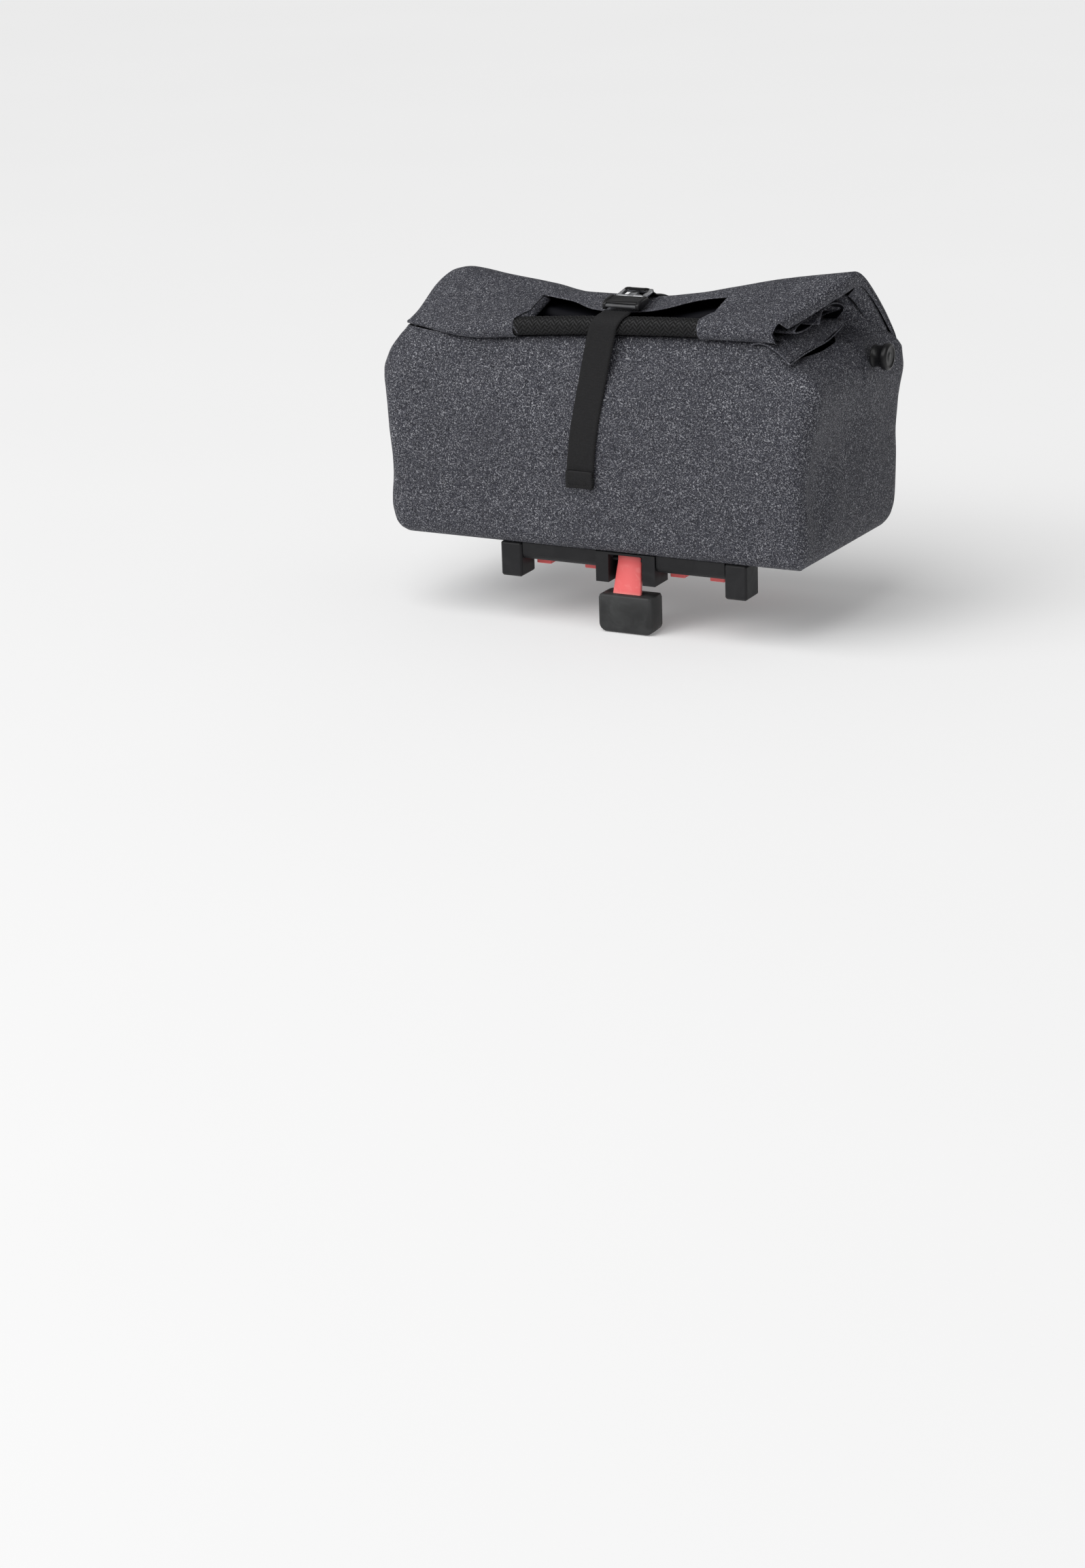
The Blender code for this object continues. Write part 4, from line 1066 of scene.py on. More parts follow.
@dataclass
class RolledTop:
    """Flap that closes the bag: up the back, over the ridge and around the handle."""

    form: BagForm
    looks: Finishes
    cloth: float = 0.0012
    sag: float = 0.0170
    sag_width: float = 0.0400
    back_lap: float = 0.0120
    lap_proud: float = 0.0030
    roll_rows: int = 26
    left_columns: int = 44
    window_columns: int = 74
    right_columns: int = 38
    wing_columns: int = 9
    wing_round: float = 0.0032
    wing_depth: Table = (
        (0.00, 0.0030), (0.08, 0.0050), (0.20, 0.0066), (0.45, 0.0080), (0.56, 0.0110), (0.75, 0.0105),
        (0.93, 0.0090), (0.985, 0.0005), (1.00, 0.0001),
    )
    layer_inset: float = 0.0016
    layer_swell: float = 0.0022
    layer_lean: float = 0.0050
    layer_top: float = 0.0030
    layer_height: float = 0.0150
    hem_depth: float = 0.0052
    hem_turn: float = 0.0045
    window_shift: float = 0.0065
    ripple: float = 0.00032
    creases: tuple[Crease, ...] = (
        Crease((-0.1360, -0.0760, 0.1860), (-0.1500, -0.0560, 0.1950), 0.0055, -0.0016),
        Crease((-0.1250, -0.0720, 0.1900), (-0.1600, -0.0380, 0.2030), 0.0060, 0.0010),
        Crease((-0.0900, -0.0560, 0.1980), (-0.1200, -0.0250, 0.2060), 0.0070, 0.0008),
        Crease((0.0850, -0.0560, 0.2040), (0.1150, -0.0250, 0.2150), 0.0070, 0.0009),
        Crease((0.1150, -0.0640, 0.2020), (0.1460, -0.0180, 0.2200), 0.0055, 0.0011),
    )

    def stations(self, share: float) -> list[float]:
        """Places along the bag of one row, from the front end to the rear."""
        form = self.form
        first = form.front_x + form.length * looked_up(form.front_ends, share, 1)
        last = form.rear_x - form.length * looked_up(form.rear_ends, share, 1)
        shift = self.window_shift * (1 - eased(share, 0.93, 0.955))
        start, end = form.window_left + shift, form.window_right + shift
        left = [lerp(first, start, step / self.left_columns) for step in range(self.left_columns)]
        middle = [lerp(start, end, step / self.window_columns) for step in range(self.window_columns)]
        right = [lerp(end, last, step / self.right_columns) for step in range(self.right_columns + 1)]
        return left + middle + right

    def sagged(self, x: float, y: float, edge_y: float) -> float:
        """Place in y of a point once the window's edge has sunk under the buckle."""
        depth = self.sag * math.exp(-((x - self.form.strap_x) / self.sag_width) ** 4)
        if y > edge_y:
            return y - depth * math.exp(-((y - edge_y) / 0.016) ** 2)
        end_y = self.form.roll_y - self.form.roll_radius * 0.5
        return y - depth * max(0.0, (y - end_y) / (edge_y - end_y))

    def relief(self, x: float, y: float, z: float) -> float:
        """How far the cloth stands above the plain form."""
        point = Vector((x, y, z))
        wave = noise.noise(point * 26.0 + Vector((5, 2, 1))) + 0.5 * noise.noise(point * 60.0)
        return self.ripple * wave + sum(crease.offset(point) for crease in self.creases)

    def rows(self) -> tuple[Grid, int]:
        """Grid of points from the back lap to the roll's inner end, and the window's first row."""
        form = self.form
        back_y = form.far_y - 0.001
        front_y = form.roll_y - form.roll_radius * 0.5
        edge_y = form.roll_y + form.window_reach
        edge = (back_y - edge_y) / (back_y - front_y)
        rows: Grid = []
        for step in range(5):
            top = form.floor_z + form.shoulder
            z = lerp(top - self.back_lap, top - self.cloth, step / 4)
            bulge = self.lap_proud - form.inset(z - form.floor_z, Vector((0, 1, 0)))
            rows.append([Vector((x, form.far_y + bulge, z)) for x in self.stations(0.0)])
        shares = [lerp(0.010, edge, (step / 62) ** 1.05) for step in range(63)]
        window_row = len(rows) + len(shares) - 1
        shares += [lerp(edge, 0.94, step / 12) for step in range(1, 13)]
        for share in shares:
            row = []
            for x in self.stations(share):
                roll_y, _, radius = form.roll_at(x)
                y = lerp(back_y, roll_y - radius * 0.5, share)
                place = self.sagged(x, y, edge_y) if x > form.roll_front_x else y
                z = form.roof_z(x, place)
                row.append(Vector((x, place, z + self.relief(x, place, z) * eased(share, 0.0, 0.08))))
            rows.append(row + self.wing(row[-1], share))
        for step in range(self.roll_rows):
            share = lerp(0.95, 1.0, min(1.0, 3 * step / self.roll_rows))
            row = []
            for x in self.stations(share):
                roll_y, roll_z, plain = form.roll_at(x)
                lean = math.degrees(math.atan(form.slope(x)))
                angle = math.radians(lerp(90 + lean, 292, step / (self.roll_rows - 1)))
                radius = plain * (1 + 0.05 * noise.noise(Vector((x * 40, angle * 1.5, 2))))
                row.append(Vector((x, roll_y + radius * math.cos(angle), roll_z + radius * math.sin(angle))))
            rows.append(row + self.wing(row[-1], 1.0))
        for row in rows[:5]:
            row += self.wing(row[-1], 0.0)
        return rows, window_row

    def wing(self, edge: Vector, share: float) -> list[Vector]:
        """Points of one row over the rear border, which turns down over the gable."""
        depth = looked_up(self.wing_depth, share, 1)
        turn = min(self.wing_round, depth * 0.6)
        points: list[Vector] = []
        for step in range(1, self.wing_columns + 1):
            part = step / self.wing_columns
            angle = math.pi / 2 * min(1.0, part * 1.6)
            down = max(0.0, part * 1.6 - 1) / 0.6 * (depth - turn)
            inward = 0.0016 * eased(part, 0.70, 1.0) * depth / 0.0125
            fall = turn * (1 - math.cos(angle)) + down
            points.append(edge + Vector((turn * math.sin(angle) - inward, 0, -fall)))
        return points

    def build(self) -> None:
        """Make the flap."""
        rows, window_row = self.rows()
        first, last = self.left_columns, self.left_columns + self.window_columns
        for row in rows:
            row.reverse()
        width = len(rows[0]) - 1

        def kept(r: int, c: int) -> bool:
            """Whether a cell is cloth and not the hand opening."""
            return not (r >= window_row and first <= width - 1 - c < last)

        made = Workshop.sheet("roll_top_flap", rows, self.cloth, self.looks.cloth, self.looks.lining, kept)
        Workshop.settle(made, Slot.CLOTH, nodes=("rolled_flap",))
        self.sew_back(rows)
        self.sew_wing(rows)
        hems = [self.window_hem(rows, window_row, width - first, 1.0),
                self.window_hem(rows, window_row, width - last, -1.0)]
        Workshop.declare(made, rows, Workshop.cloth_area(rows, kept), hems)

    def sew_wing(self, rows: Grid) -> None:
        """Sew the turned border along the back half of the rear end, over the gable's cloth."""
        run = [row[2] + Vector((0.0001, 0, 0)) for row in rows[8:42]]
        outward = Vector((0.95, 0.15, 0.25)).normalized()
        made = Workshop.stitches("wing_seam", [run], [outward], self.looks.thread, 0.0030, 0.00028)
        Workshop.settle(made, Slot.CLOTH)
        layer: Grid = []
        for row in rows[5:46]:
            edge = row[self.wing_columns]
            line = []
            for step in range(13):
                part = step / 12
                inward = self.layer_inset - self.layer_swell * math.sin(math.pi * part)
                inward += self.layer_lean * part ** 2
                line.append(edge + Vector((-inward, 0, -self.layer_top - self.layer_height * part)))
            line.reverse()
            layer.append(line)
        made = Workshop.sheet("gable_layer", layer, self.cloth, self.looks.cloth, self.looks.lining)
        Workshop.settle(made, Slot.CLOTH)
        Workshop.declare(made, layer)

    def window_hem(self, rows: Grid, window_row: int, column: int, side: float) -> Piece:
        """Turn the cloth in along one side of the hand opening.

        Args:
            rows: Grid of the flap.
            window_row: First row of the opening.
            column: Column of the opening's edge.
            side: 1 for the front side of the opening, -1 for the rear side.

        Returns:
            The hem.
        """
        strip: Grid = []
        name = "window_hem_front" if side > 0 else "window_hem_rear"
        for row in rows[window_row - 1:window_row + 22]:
            start = row[column] + Vector((0, 0.0006, -0.0008))
            line = []
            for step in range(7):
                part = step / 6
                sink = Vector((0, 0.35, -0.94)) * (self.hem_depth * part ** 1.3)
                across = self.hem_turn * math.sin(part * 1.5) - 0.0008
                line.append(start + Vector((side * across, 0, 0)) + sink)
            if side > 0:
                line.reverse()
            strip.append(line)
        made = Workshop.sheet(name, strip, 0.0010, self.looks.cloth, self.looks.lining)
        return Workshop.settle(made, Slot.CLOTH)

    def sew_back(self, rows: Grid) -> None:
        """Sew the flap's back edge down with two rows of stitches."""
        runs = [[point + Vector((0, 0.0001, 0)) for point in rows[index][4:-4:4]] for index in (1, 3)]
        made = Workshop.stitches("back_seam", runs, [Vector((0, 1, 0))] * 2, self.looks.thread)
        Workshop.settle(made, Slot.CLOTH)


@dataclass
class Mouth:
    """Folded cloth of the bag's mouth that shows at the two ends and through the window."""

    form: BagForm
    looks: Finishes
    cloth: float = 0.0012
    roll_front: float = 0.0340
    roll_back: float = 0.0120
    roll_drop: float = 0.0100
    roll_bend: float = 0.0048

    def inner_roll(self) -> None:
        """Rolled edge of the mouth under the flap."""
        form = self.form
        front = form.roll_y + self.roll_front
        profile: list[tuple[str, float]] = [("top", step / 14) for step in range(15)]
        profile += [("bend", step / 12) for step in range(1, 12)]
        profile += [("under", step / 10) for step in range(11)]
        rows: Grid = []
        for index, (run, share) in enumerate(profile):
            curl = math.sin(math.pi * index / (len(profile) - 1))
            first = form.roll_front_x - 0.004
            last = form.roll_rear_x + 0.002 + 0.006 * (1 - curl)
            row = []
            for step in range(61):
                x = lerp(first, last, step / 60)
                back = form.ridge(x)[0] + self.roll_back
                wave = 0.0005 * noise.noise(Vector((x * 30, index * 0.2, 4)))
                top = form.roof_z(x, front) - self.roll_drop + wave
                if run == "top":
                    y, z = lerp(back, front, share), top
                elif run == "bend":
                    angle = math.radians(90 + 180 * share)
                    y = front + self.roll_bend * math.cos(angle)
                    z = top - self.roll_bend + self.roll_bend * math.sin(angle)
                else:
                    y, z = lerp(front, back - 0.009, share), top - 2 * self.roll_bend
                row.append(Vector((x, y, z)))
            row.reverse()
            rows.append(row)
        made = Workshop.sheet("mouth_roll", rows, self.cloth, self.looks.lining, self.looks.lining)
        Workshop.settle(made, Slot.CLOTH, nodes=("inner_roll",))
        Workshop.declare(made, rows)

    def front_gusset(self) -> None:
        """Fold of the mouth at the front end, swollen and turned under along its lower edge."""
        lower = ((-0.1600, -0.0600, 0.1690), (-0.1640, -0.0520, 0.1700), (-0.1690, -0.0420, 0.1740),
                 (-0.1680, -0.0220, 0.1820), (-0.1650, -0.0040, 0.1880))
        upper = ((-0.1400, -0.0600, 0.1740), (-0.1420, -0.0540, 0.1780), (-0.1440, -0.0430, 0.1820),
                 (-0.1450, -0.0220, 0.1870), (-0.1450, -0.0040, 0.1920))
        bulge = Vector((-0.0016, -0.0010, 0.0016))
        outward = bulge.normalized()
        hem, around, over, along = 0.0045, 6, 24, 40
        rows: Grid = []
        for index in range(-around, over + 1):
            row = []
            for step in range(along + 1):
                low = along_path(lower, step / along)
                high = along_path(upper, step / along)
                if index < 0:
                    turn = math.pi * (-index) / around
                    inward = (high - low).normalized()
                    point = low + inward * hem * (0.5 - 0.5 * math.cos(turn))
                    point += -outward * hem * 0.30 * math.sin(turn * 0.5)
                else:
                    share = index / over
                    point = low.lerp(high, share) + bulge * math.sin(math.pi * share) ** 0.8
                    wave = noise.noise(point * 55.0 + Vector((9, 9, 2)))
                    point += outward * 0.0005 * wave
                row.append(point)
            row.reverse()
            rows.append(row)
        made = Workshop.sheet("gusset_front", rows, self.cloth, self.looks.cloth, self.looks.lining)
        Workshop.settle(made, Slot.CLOTH, nodes=("gusset_fold_front",))
        Workshop.declare(made, rows)

    def build(self) -> None:
        """Make the folds of the mouth."""
        self.inner_roll()
        self.rear_gusset()
        self.front_gusset()
        self.strip("roll_core", 0.0900, 0.1345, (
            (-0.0310, 0.1912), (-0.0390, 0.1948), (-0.0500, 0.1950), (-0.0610, 0.1932), (-0.0655, 0.1908),
            (-0.0620, 0.1886), (-0.0500, 0.1880), (-0.0400, 0.1888), (-0.0350, 0.1900)), 0.0030)
        self.strip("roll_tab", 0.1080, 0.1405, (
            (-0.0420, 0.1925), (-0.0385, 0.1968), (-0.0330, 0.2005), (-0.0200, 0.2022), (-0.0080, 0.2012),
            (0.0040, 0.1985), (0.0128, 0.1945), (0.0136, 0.1912), (0.0100, 0.1886), (0.0040, 0.1862),
            (-0.0010, 0.1843)), -0.0060, flip=True)

    def rear_gusset(self) -> None:
        """Big lit fold of the mouth at the rear end, from the corner's tip up under the flap."""
        lower = ((0.1388, -0.0815, 0.1712), (0.1398, -0.0550, 0.1741), (0.1415, -0.0260, 0.1757),
                 (0.1425, -0.0110, 0.1785), (0.1435, 0.0000, 0.1820), (0.1430, 0.0060, 0.1850))
        crest = ((0.1215, -0.0811, 0.1843), (0.1262, -0.0620, 0.1868), (0.1290, -0.0400, 0.1876),
                 (0.1315, -0.0230, 0.1884), (0.1350, -0.0080, 0.1888), (0.1395, 0.0040, 0.1872))
        inner = ((0.1080, -0.0800, 0.1838), (0.1120, -0.0600, 0.1840), (0.1150, -0.0380, 0.1840),
                 (0.1180, -0.0200, 0.1850), (0.1220, -0.0040, 0.1860), (0.1300, 0.0080, 0.1860))
        rows: Grid = []
        for index in range(-7, 41):
            row = []
            for step in range(57):
                share = step / 56
                low, high, back = (along_path(line, share) for line in (lower, crest, inner))
                if index < 0:
                    turn = math.pi * -index / 7
                    rise = (high - low).normalized()
                    point = low + rise * 0.0030 * (1 - math.cos(turn))
                    point += Vector((-0.8, 0, -0.5)) * 0.0024 * math.sin(turn / 2)
                else:
                    part = index / 40
                    point = low * (1 - part) ** 2 + high * 2 * part * (1 - part) + back * part ** 2
                    point += (high - (low * 0.25 + high * 0.5 + back * 0.25)) * 4 * part * (1 - part) * 0.85
                    swell = 0.0007 * noise.noise(point * 60.0 + Vector((9, 9, 2)))
                    point += Vector((0.6, 0, 0.8)) * swell
                row.append(point)
            rows.append(row)
        made = Workshop.sheet("gusset_rear", rows, self.cloth, self.looks.cloth, self.looks.lining)
        Workshop.settle(made, Slot.CLOTH, nodes=("gusset_fold_rear",))
        Workshop.declare(made, rows)

    def strip(self, name: str, first: float, last: float, section: Table, skew: float,
              flip: bool = False) -> None:
        """Curled cloth that runs into the roll, with its section at the rear end.

        Args:
            name: Name of the piece.
            first: Place along the bag where it starts under the flap.
            last: Place of its visible end.
            section: Places in y and z along its curl, outer side up.
            skew: How far the end leans towards the rear over the section.
            flip: Whether the outer side faces the other way.
        """
        rows: Grid = []
        for index in range(49):
            share = index / 48
            y, z = along_path(section, share)
            row = []
            for step in range(21):
                x = lerp(first, last + skew * (share - 0.5), step / 20)
                flare = 0.0005 * eased(step / 20, 0.8, 1.0)
                wave = 0.0006 * noise.noise(Vector((x * 60, share * 3, 5)))
                row.append(Vector((x, y, z + wave + flare)))
            if not flip:
                row.reverse()
            rows.append(row)
        made = Workshop.sheet(name, rows, self.cloth, self.looks.cloth, self.looks.lining)
        Workshop.settle(made, Slot.CLOTH)
        Workshop.declare(made, rows)


@dataclass
class GrabHandle:
    """Padded grab handle in a braided sleeve."""

    form: BagForm
    looks: Finishes
    core_radius: float = 0.0058
    relief: float = 0.00095
    strand: float = 0.0030
    strands_around: int = 12
    tuck: float = 0.0110
    along_steps: int = 330
    around_steps: int = 60

    def height(self, x: float, turn: float) -> float:
        """Height of the braid over its core, from 0 to 1."""
        u = x / self.strand
        v = turn / math.tau * self.strands_around
        first, second = u + v, u - v
        over = (math.floor(first) + math.floor(second)) % 4 < 2
        across = second if over else first
        along = first if over else second
        crown = math.sin(math.pi * (across - math.floor(across))) ** 0.7
        dip = 0.80 + 0.20 * math.sin(math.pi * ((along / 2) % 1.0))
        return crown * dip

    def build(self) -> None:
        """Make the handle."""
        form = self.form
        first, last = form.window_left - self.tuck, form.window_right + self.tuck
        rings = []
        crowns: list[float] = []
        for step in range(self.along_steps + 1):
            x = lerp(first, last, step / self.along_steps)
            ring = []
            for part in range(self.around_steps):
                turn = math.tau * part / self.around_steps
                crown = self.height(x, turn)
                crowns.append(crown)
                radius = self.core_radius + self.relief * crown
                radius *= 1 - 0.02 * math.cos(2 * turn)
                y = form.roll_y + radius * math.cos(turn)
                ring.append(Vector((x, y, form.roll_z(x) + radius * math.sin(turn))))
            rings.append(ring)
        made = Workshop.loft("grab_handle", rings, self.looks.braid, 75.0)
        layer = made.data.attributes.new("crown", "FLOAT", "POINT")
        layer.data.foreach_set("value", crowns)
        Workshop.settle(made, Slot.BRAID, nodes=("handle_braid",))


@dataclass
class FrontStrap:
    """Webbing strap from its sewn foot over the handle to the buckle."""

    form: BagForm
    looks: Finishes
    width: float = 0.0210
    thickness: float = 0.0016
    clear: float = 0.0010
    foot_height: float = 0.0500
    patch_height: float = 0.0126
    foot_x: float = -0.0262
    drift: float = 0.0060
    buckle_rest: float = 0.0180

    def closure_frame(self, reach: float) -> tuple[Vector, float]:
        """Place on the flap's slope at a reach behind the buckle's middle, and the slope's angle."""
        form = self.form
        slope = math.atan(form.slope(form.strap_x))
        along = self.buckle_rest / math.cos(slope) + reach
        top = form.roll_z(form.strap_x) + form.handle_radius / math.cos(slope) + self.clear
        y = form.roll_y + along * math.cos(slope)
        return Vector((form.strap_x, y, top + along * math.sin(slope))), slope

    def path(self) -> list[Vector]:
        """Outer line of the strap."""
        form = self.form
        foot_z = form.floor_z + self.foot_height
        reach = form.handle_radius + self.thickness + self.clear
        points: list[Vector] = []
        for step in range(61):
            share = step / 60
            x = lerp(self.foot_x, form.strap_x - self.drift, share ** 1.5)
            z = lerp(foot_z, form.roll_z(x), share)
            panel = form.near_y + form.inset(z - form.floor_z, Vector((0, -1, 0))) - self.thickness - 0.0009
            points.append(Vector((x, lerp(panel, form.roll_y - reach, eased(share, 0.10, 1.0)), z)))
        lean = math.degrees(math.atan(form.slope(form.strap_x)))
        for step in range(1, 13):
            turn = math.radians(lerp(180, 90 + lean, step / 12))
            x = lerp(form.strap_x - self.drift, form.strap_x, step / 12)
            y = form.roll_y + reach * math.cos(turn)
            points.append(Vector((x, y, form.roll_z(x) + reach * math.sin(turn))))
        place, slope = self.closure_frame(-0.0140)
        end = place + Vector((0, -math.sin(slope), math.cos(slope))) * (self.thickness + 0.0001)
        last = points[-1]
        points += [last.lerp(end, step / 4) for step in range(1, 5)]
        return points

    def ribbon(self, name: str, points: Sequence[Vector], lift: float) -> Piece:
        """Webbing along a line, with a fuller selvedge at both edges."""
        rows: Grid = []
        for index, point in enumerate(points):
            ahead = points[min(index + 1, len(points) - 1)] - points[max(index - 1, 0)]
            normal = Vector((1, 0, 0)).cross(ahead).normalized()
            row = []
            for step in range(15):
                across = lerp(-0.5, 0.5, step / 14)
                selvedge = 0.00022 * math.exp(-((abs(across) - 0.43) / 0.045) ** 2)
                bow = 0.0005 * (1 - 4 * across * across) * math.sin(math.pi * min(1.0, index / 60))
                side = Vector((self.width * across, 0, 0))
                row.append(point + side + normal * (lift + selvedge + bow))
            rows.append(row)
        return Workshop.sheet(name, rows, self.thickness, self.looks.webbing, self.looks.webbing)

    def build(self) -> None:
        """Make the strap, its doubled foot and the foot's seams."""
        points = self.path()
        Workshop.settle(self.ribbon("front_webbing", points, 0.0), Slot.WEBBING, nodes=("front_strap",))
        top = self.form.floor_z + self.foot_height + self.patch_height
        patch = [point for point in points if point.z < top]
        foot = self.ribbon("webbing_foot", patch, self.thickness + 0.0002)
        Workshop.settle(foot, Slot.WEBBING, nodes=("strap_foot",))
        face = patch[0].y - self.thickness - 0.0005
        low, high = patch[0].z + 0.0018, patch[-1].z - 0.0018
        x = self.foot_x
        half = self.width / 2 - 0.0022
        lean = 0.001
        corners = [(x - half, low), (x + half, low), (x + half + lean, high), (x - half + lean, high)]
        box = [Vector((a, face, b)) for a, b in corners + corners[:1]]
        runs = [box, [box[0], box[2]], [box[1], box[3]]]
        outward = [Vector((0, -1, 0))] * len(runs)
        made = Workshop.stitches("foot_stitches", runs, outward, self.looks.thread, 0.0022, 0.00028)
        Workshop.settle(made, Slot.WEBBING)


@dataclass
class Closure:
    """Buckle, cast hook and the sewn loop that it hooks into."""

    form: BagForm
    looks: Finishes
    strap: FrontStrap
    width: float = 0.0290
    length: float = 0.0180
    height: float = 0.0062
    cheek: float = 0.0030
    bar: float = 0.0034
    hook_width: float = 0.0230
    hook_length: float = 0.0165
    hook_thickness: float = 0.0028
    hook_lift: float = 0.0024
    hook_rail: float = 0.0032
    loop_width: float = 0.0160
    loop_back: float = 0.0300

    def placed(self, reach: float, points: Sequence[Sequence[float]]) -> list[Vector]:
        """Points given across, along and over the flap's slope, as places in space.

        Args:
            reach: Distance of their origin behind the middle of the buckle.
            points: Their places.

        Returns:
            The places in space.
        """
        origin, slope = self.strap.closure_frame(reach)
        along = Vector((0, math.cos(slope), math.sin(slope)))
        over = Vector((0, -math.sin(slope), math.cos(slope)))
        return [origin + Vector((a, 0, 0)) + along * b + over * c for a, b, c in points]

    def block(self, name: str, reach: float, outline: Sequence[tuple[float, float]], first: float,
              last: float, material: Material, edge: float) -> Piece:
        """Outline along and over the slope, extruded across it and rounded.

        Args:
            name: Name of the piece.
            reach: Distance of its origin behind the middle of the buckle.
            outline: Places along and over the slope.
            first: Where it starts across the slope.
            last: Where it ends.
            material: Its material.
            edge: Radius of its edges.

        Returns:
            The piece.
        """
        rings = [self.placed(reach, [(x, b, c) for b, c in outline]) for x in (first, last)]
        made = Workshop.loft(name, rings, material, 40.0)
        return Workshop.soften(made, edge)

    def buckle(self) -> None:
        """Make the buckle: two cheeks, a ribbed top plate and a grey bar in front."""
        half, wide = self.length / 2, self.width / 2
        plate, groove = self.height * 0.93, self.height * 0.86
        cheek = ((-half, 0.0006), (-half + 0.0010, -0.0002), (half, 0.0), (half, self.height * 0.62),
                 (half - 0.0030, self.height), (-half + 0.0050, self.height),
                 (-half + 0.0006, self.height * 0.72))
        pieces = []
        for side in (-1, 1):
            low, high = sorted((side * wide, side * (wide - self.cheek)))
            pieces.append(self.block("buckle_cheek", 0.0, cheek, low, high, self.looks.buckle, 0.0007))
        top = [(-half + 0.0030, self.height * 0.52), (half - 0.0006, self.height * 0.30)]
        top += [(half - 0.0006, self.height * 0.66), (half - 0.0030, plate)]
        for rib in range(4):
            centre = half - 0.0052 - rib * 0.0021
            top += [(centre + 0.0005, plate), (centre, groove), (centre - 0.0005, plate)]
        top += [(-half + 0.0036, plate), (-half + 0.0018, self.height * 0.80)]
        inner = wide - self.cheek + 0.0004
        pieces.append(self.block("buckle_frame", 0.0, top, -inner, inner, self.looks.buckle, 0.0003))
        frame = self.joined("buckle_frame", pieces)
        Workshop.settle(frame, Slot.BLACK, nodes=("buckle_body",))
        bar = []
        for step in range(20):
            turn = math.tau * step / 20
            along = -half + 0.0002 + self.bar / 2 * (1 + math.cos(turn))
            bar.append((along, self.height * 0.42 + self.bar / 2 * 0.9 * math.sin(turn)))
        made = self.block("buckle_roller", 0.0, bar, -inner, inner, self.looks.grey, 0.0002)
        Workshop.settle(made, Slot.GREY, nodes=("buckle_bar",))

    @staticmethod
    def joined(name: str, pieces: Sequence[Piece]) -> Piece:
        """Several rounded pieces as one object with their modifiers applied."""
        work = bmesh.new()
        graph = bpy.context.evaluated_depsgraph_get()
        for part in pieces:
            shape = part.evaluated_get(graph).to_mesh()
            work.from_mesh(shape)
        mesh = bpy.data.meshes.new(name)
        work.to_mesh(mesh)
        work.free()
        mesh.materials.append(pieces[0].data.materials[0])
        mesh.shade_smooth()
        mesh.set_sharp_from_angle(angle=math.radians(40))
        for part in pieces:
            bpy.data.objects.remove(part, do_unlink=True)
        made = bpy.data.objects.new(name, mesh)
        bpy.context.scene.collection.objects.link(made)
        return made

    def hook(self) -> None:
        """Make the cast hook, a flat frame with a wide middle bar."""
        reach = self.length / 2 + self.hook_length / 2 - 0.0012
        half, wide = self.hook_length / 2, self.hook_width / 2
        low, high = self.hook_lift, self.hook_lift + self.hook_thickness
        rail, tongue = self.hook_rail, self.hook_rail
        bars = (
            (-wide, wide, -half, -half + rail), (-wide, wide, half - rail, half),
            (-wide, -wide + rail, -half, half), (wide - rail, wide, -half, half),
            (-tongue, tongue, -half, half - 0.0060),
        )
        pieces = []
        for first, last, start, end in bars:
            outline = ((start, low), (end, low), (end, high), (start, high))
            pieces.append(self.block("hook_part", reach, outline, first, last, self.looks.metal, 0.0009))
        made = self.joined("cast_hook", pieces)
        Workshop.settle(made, Slot.METAL, nodes=("metal_hook",))

    def loop(self) -> None:
        """Make the webbing loop that runs from the hook over the ridge to its seam."""
        form = self.form
        reach = self.length / 2 + self.hook_length - 0.0075
        start = self.placed(reach, [(0, 0, self.hook_lift + self.hook_thickness + 0.0020)])[0]
        ridge_y = form.ridge(form.strap_x)[0]
        points = [start]
        for step in range(1, 25):
            y = lerp(start.y, ridge_y + self.loop_back, step / 24)
            lift = lerp(start.z - form.roof_z(start.x, start.y), 0.0019, eased(step / 24, 0.0, 0.45))
            points.append(Vector((form.strap_x, y, form.roof_z(form.strap_x, y) + lift)))
        rows: Grid = []
        for index, point in enumerate(points):
            ahead = points[min(index + 1, len(points) - 1)] - points[max(index - 1, 0)]
            normal = Vector((1, 0, 0)).cross(ahead).normalized()
            row = []
            for step in range(11):
                across = lerp(-0.5, 0.5, step / 10)
                selvedge = 0.0002 * math.exp(-((abs(across) - 0.43) / 0.05) ** 2)
                row.append(point + Vector((self.loop_width * across, 0, 0)) + normal * selvedge)
            rows.append(row)
        made = Workshop.sheet("hook_loop", rows, 0.0016, self.looks.webbing, self.looks.webbing)
        Workshop.settle(made, Slot.WEBBING, nodes=("top_loop",))

    def build(self) -> None:
        """Make the fittings."""
        self.buckle()
        self.hook()
        self.loop()


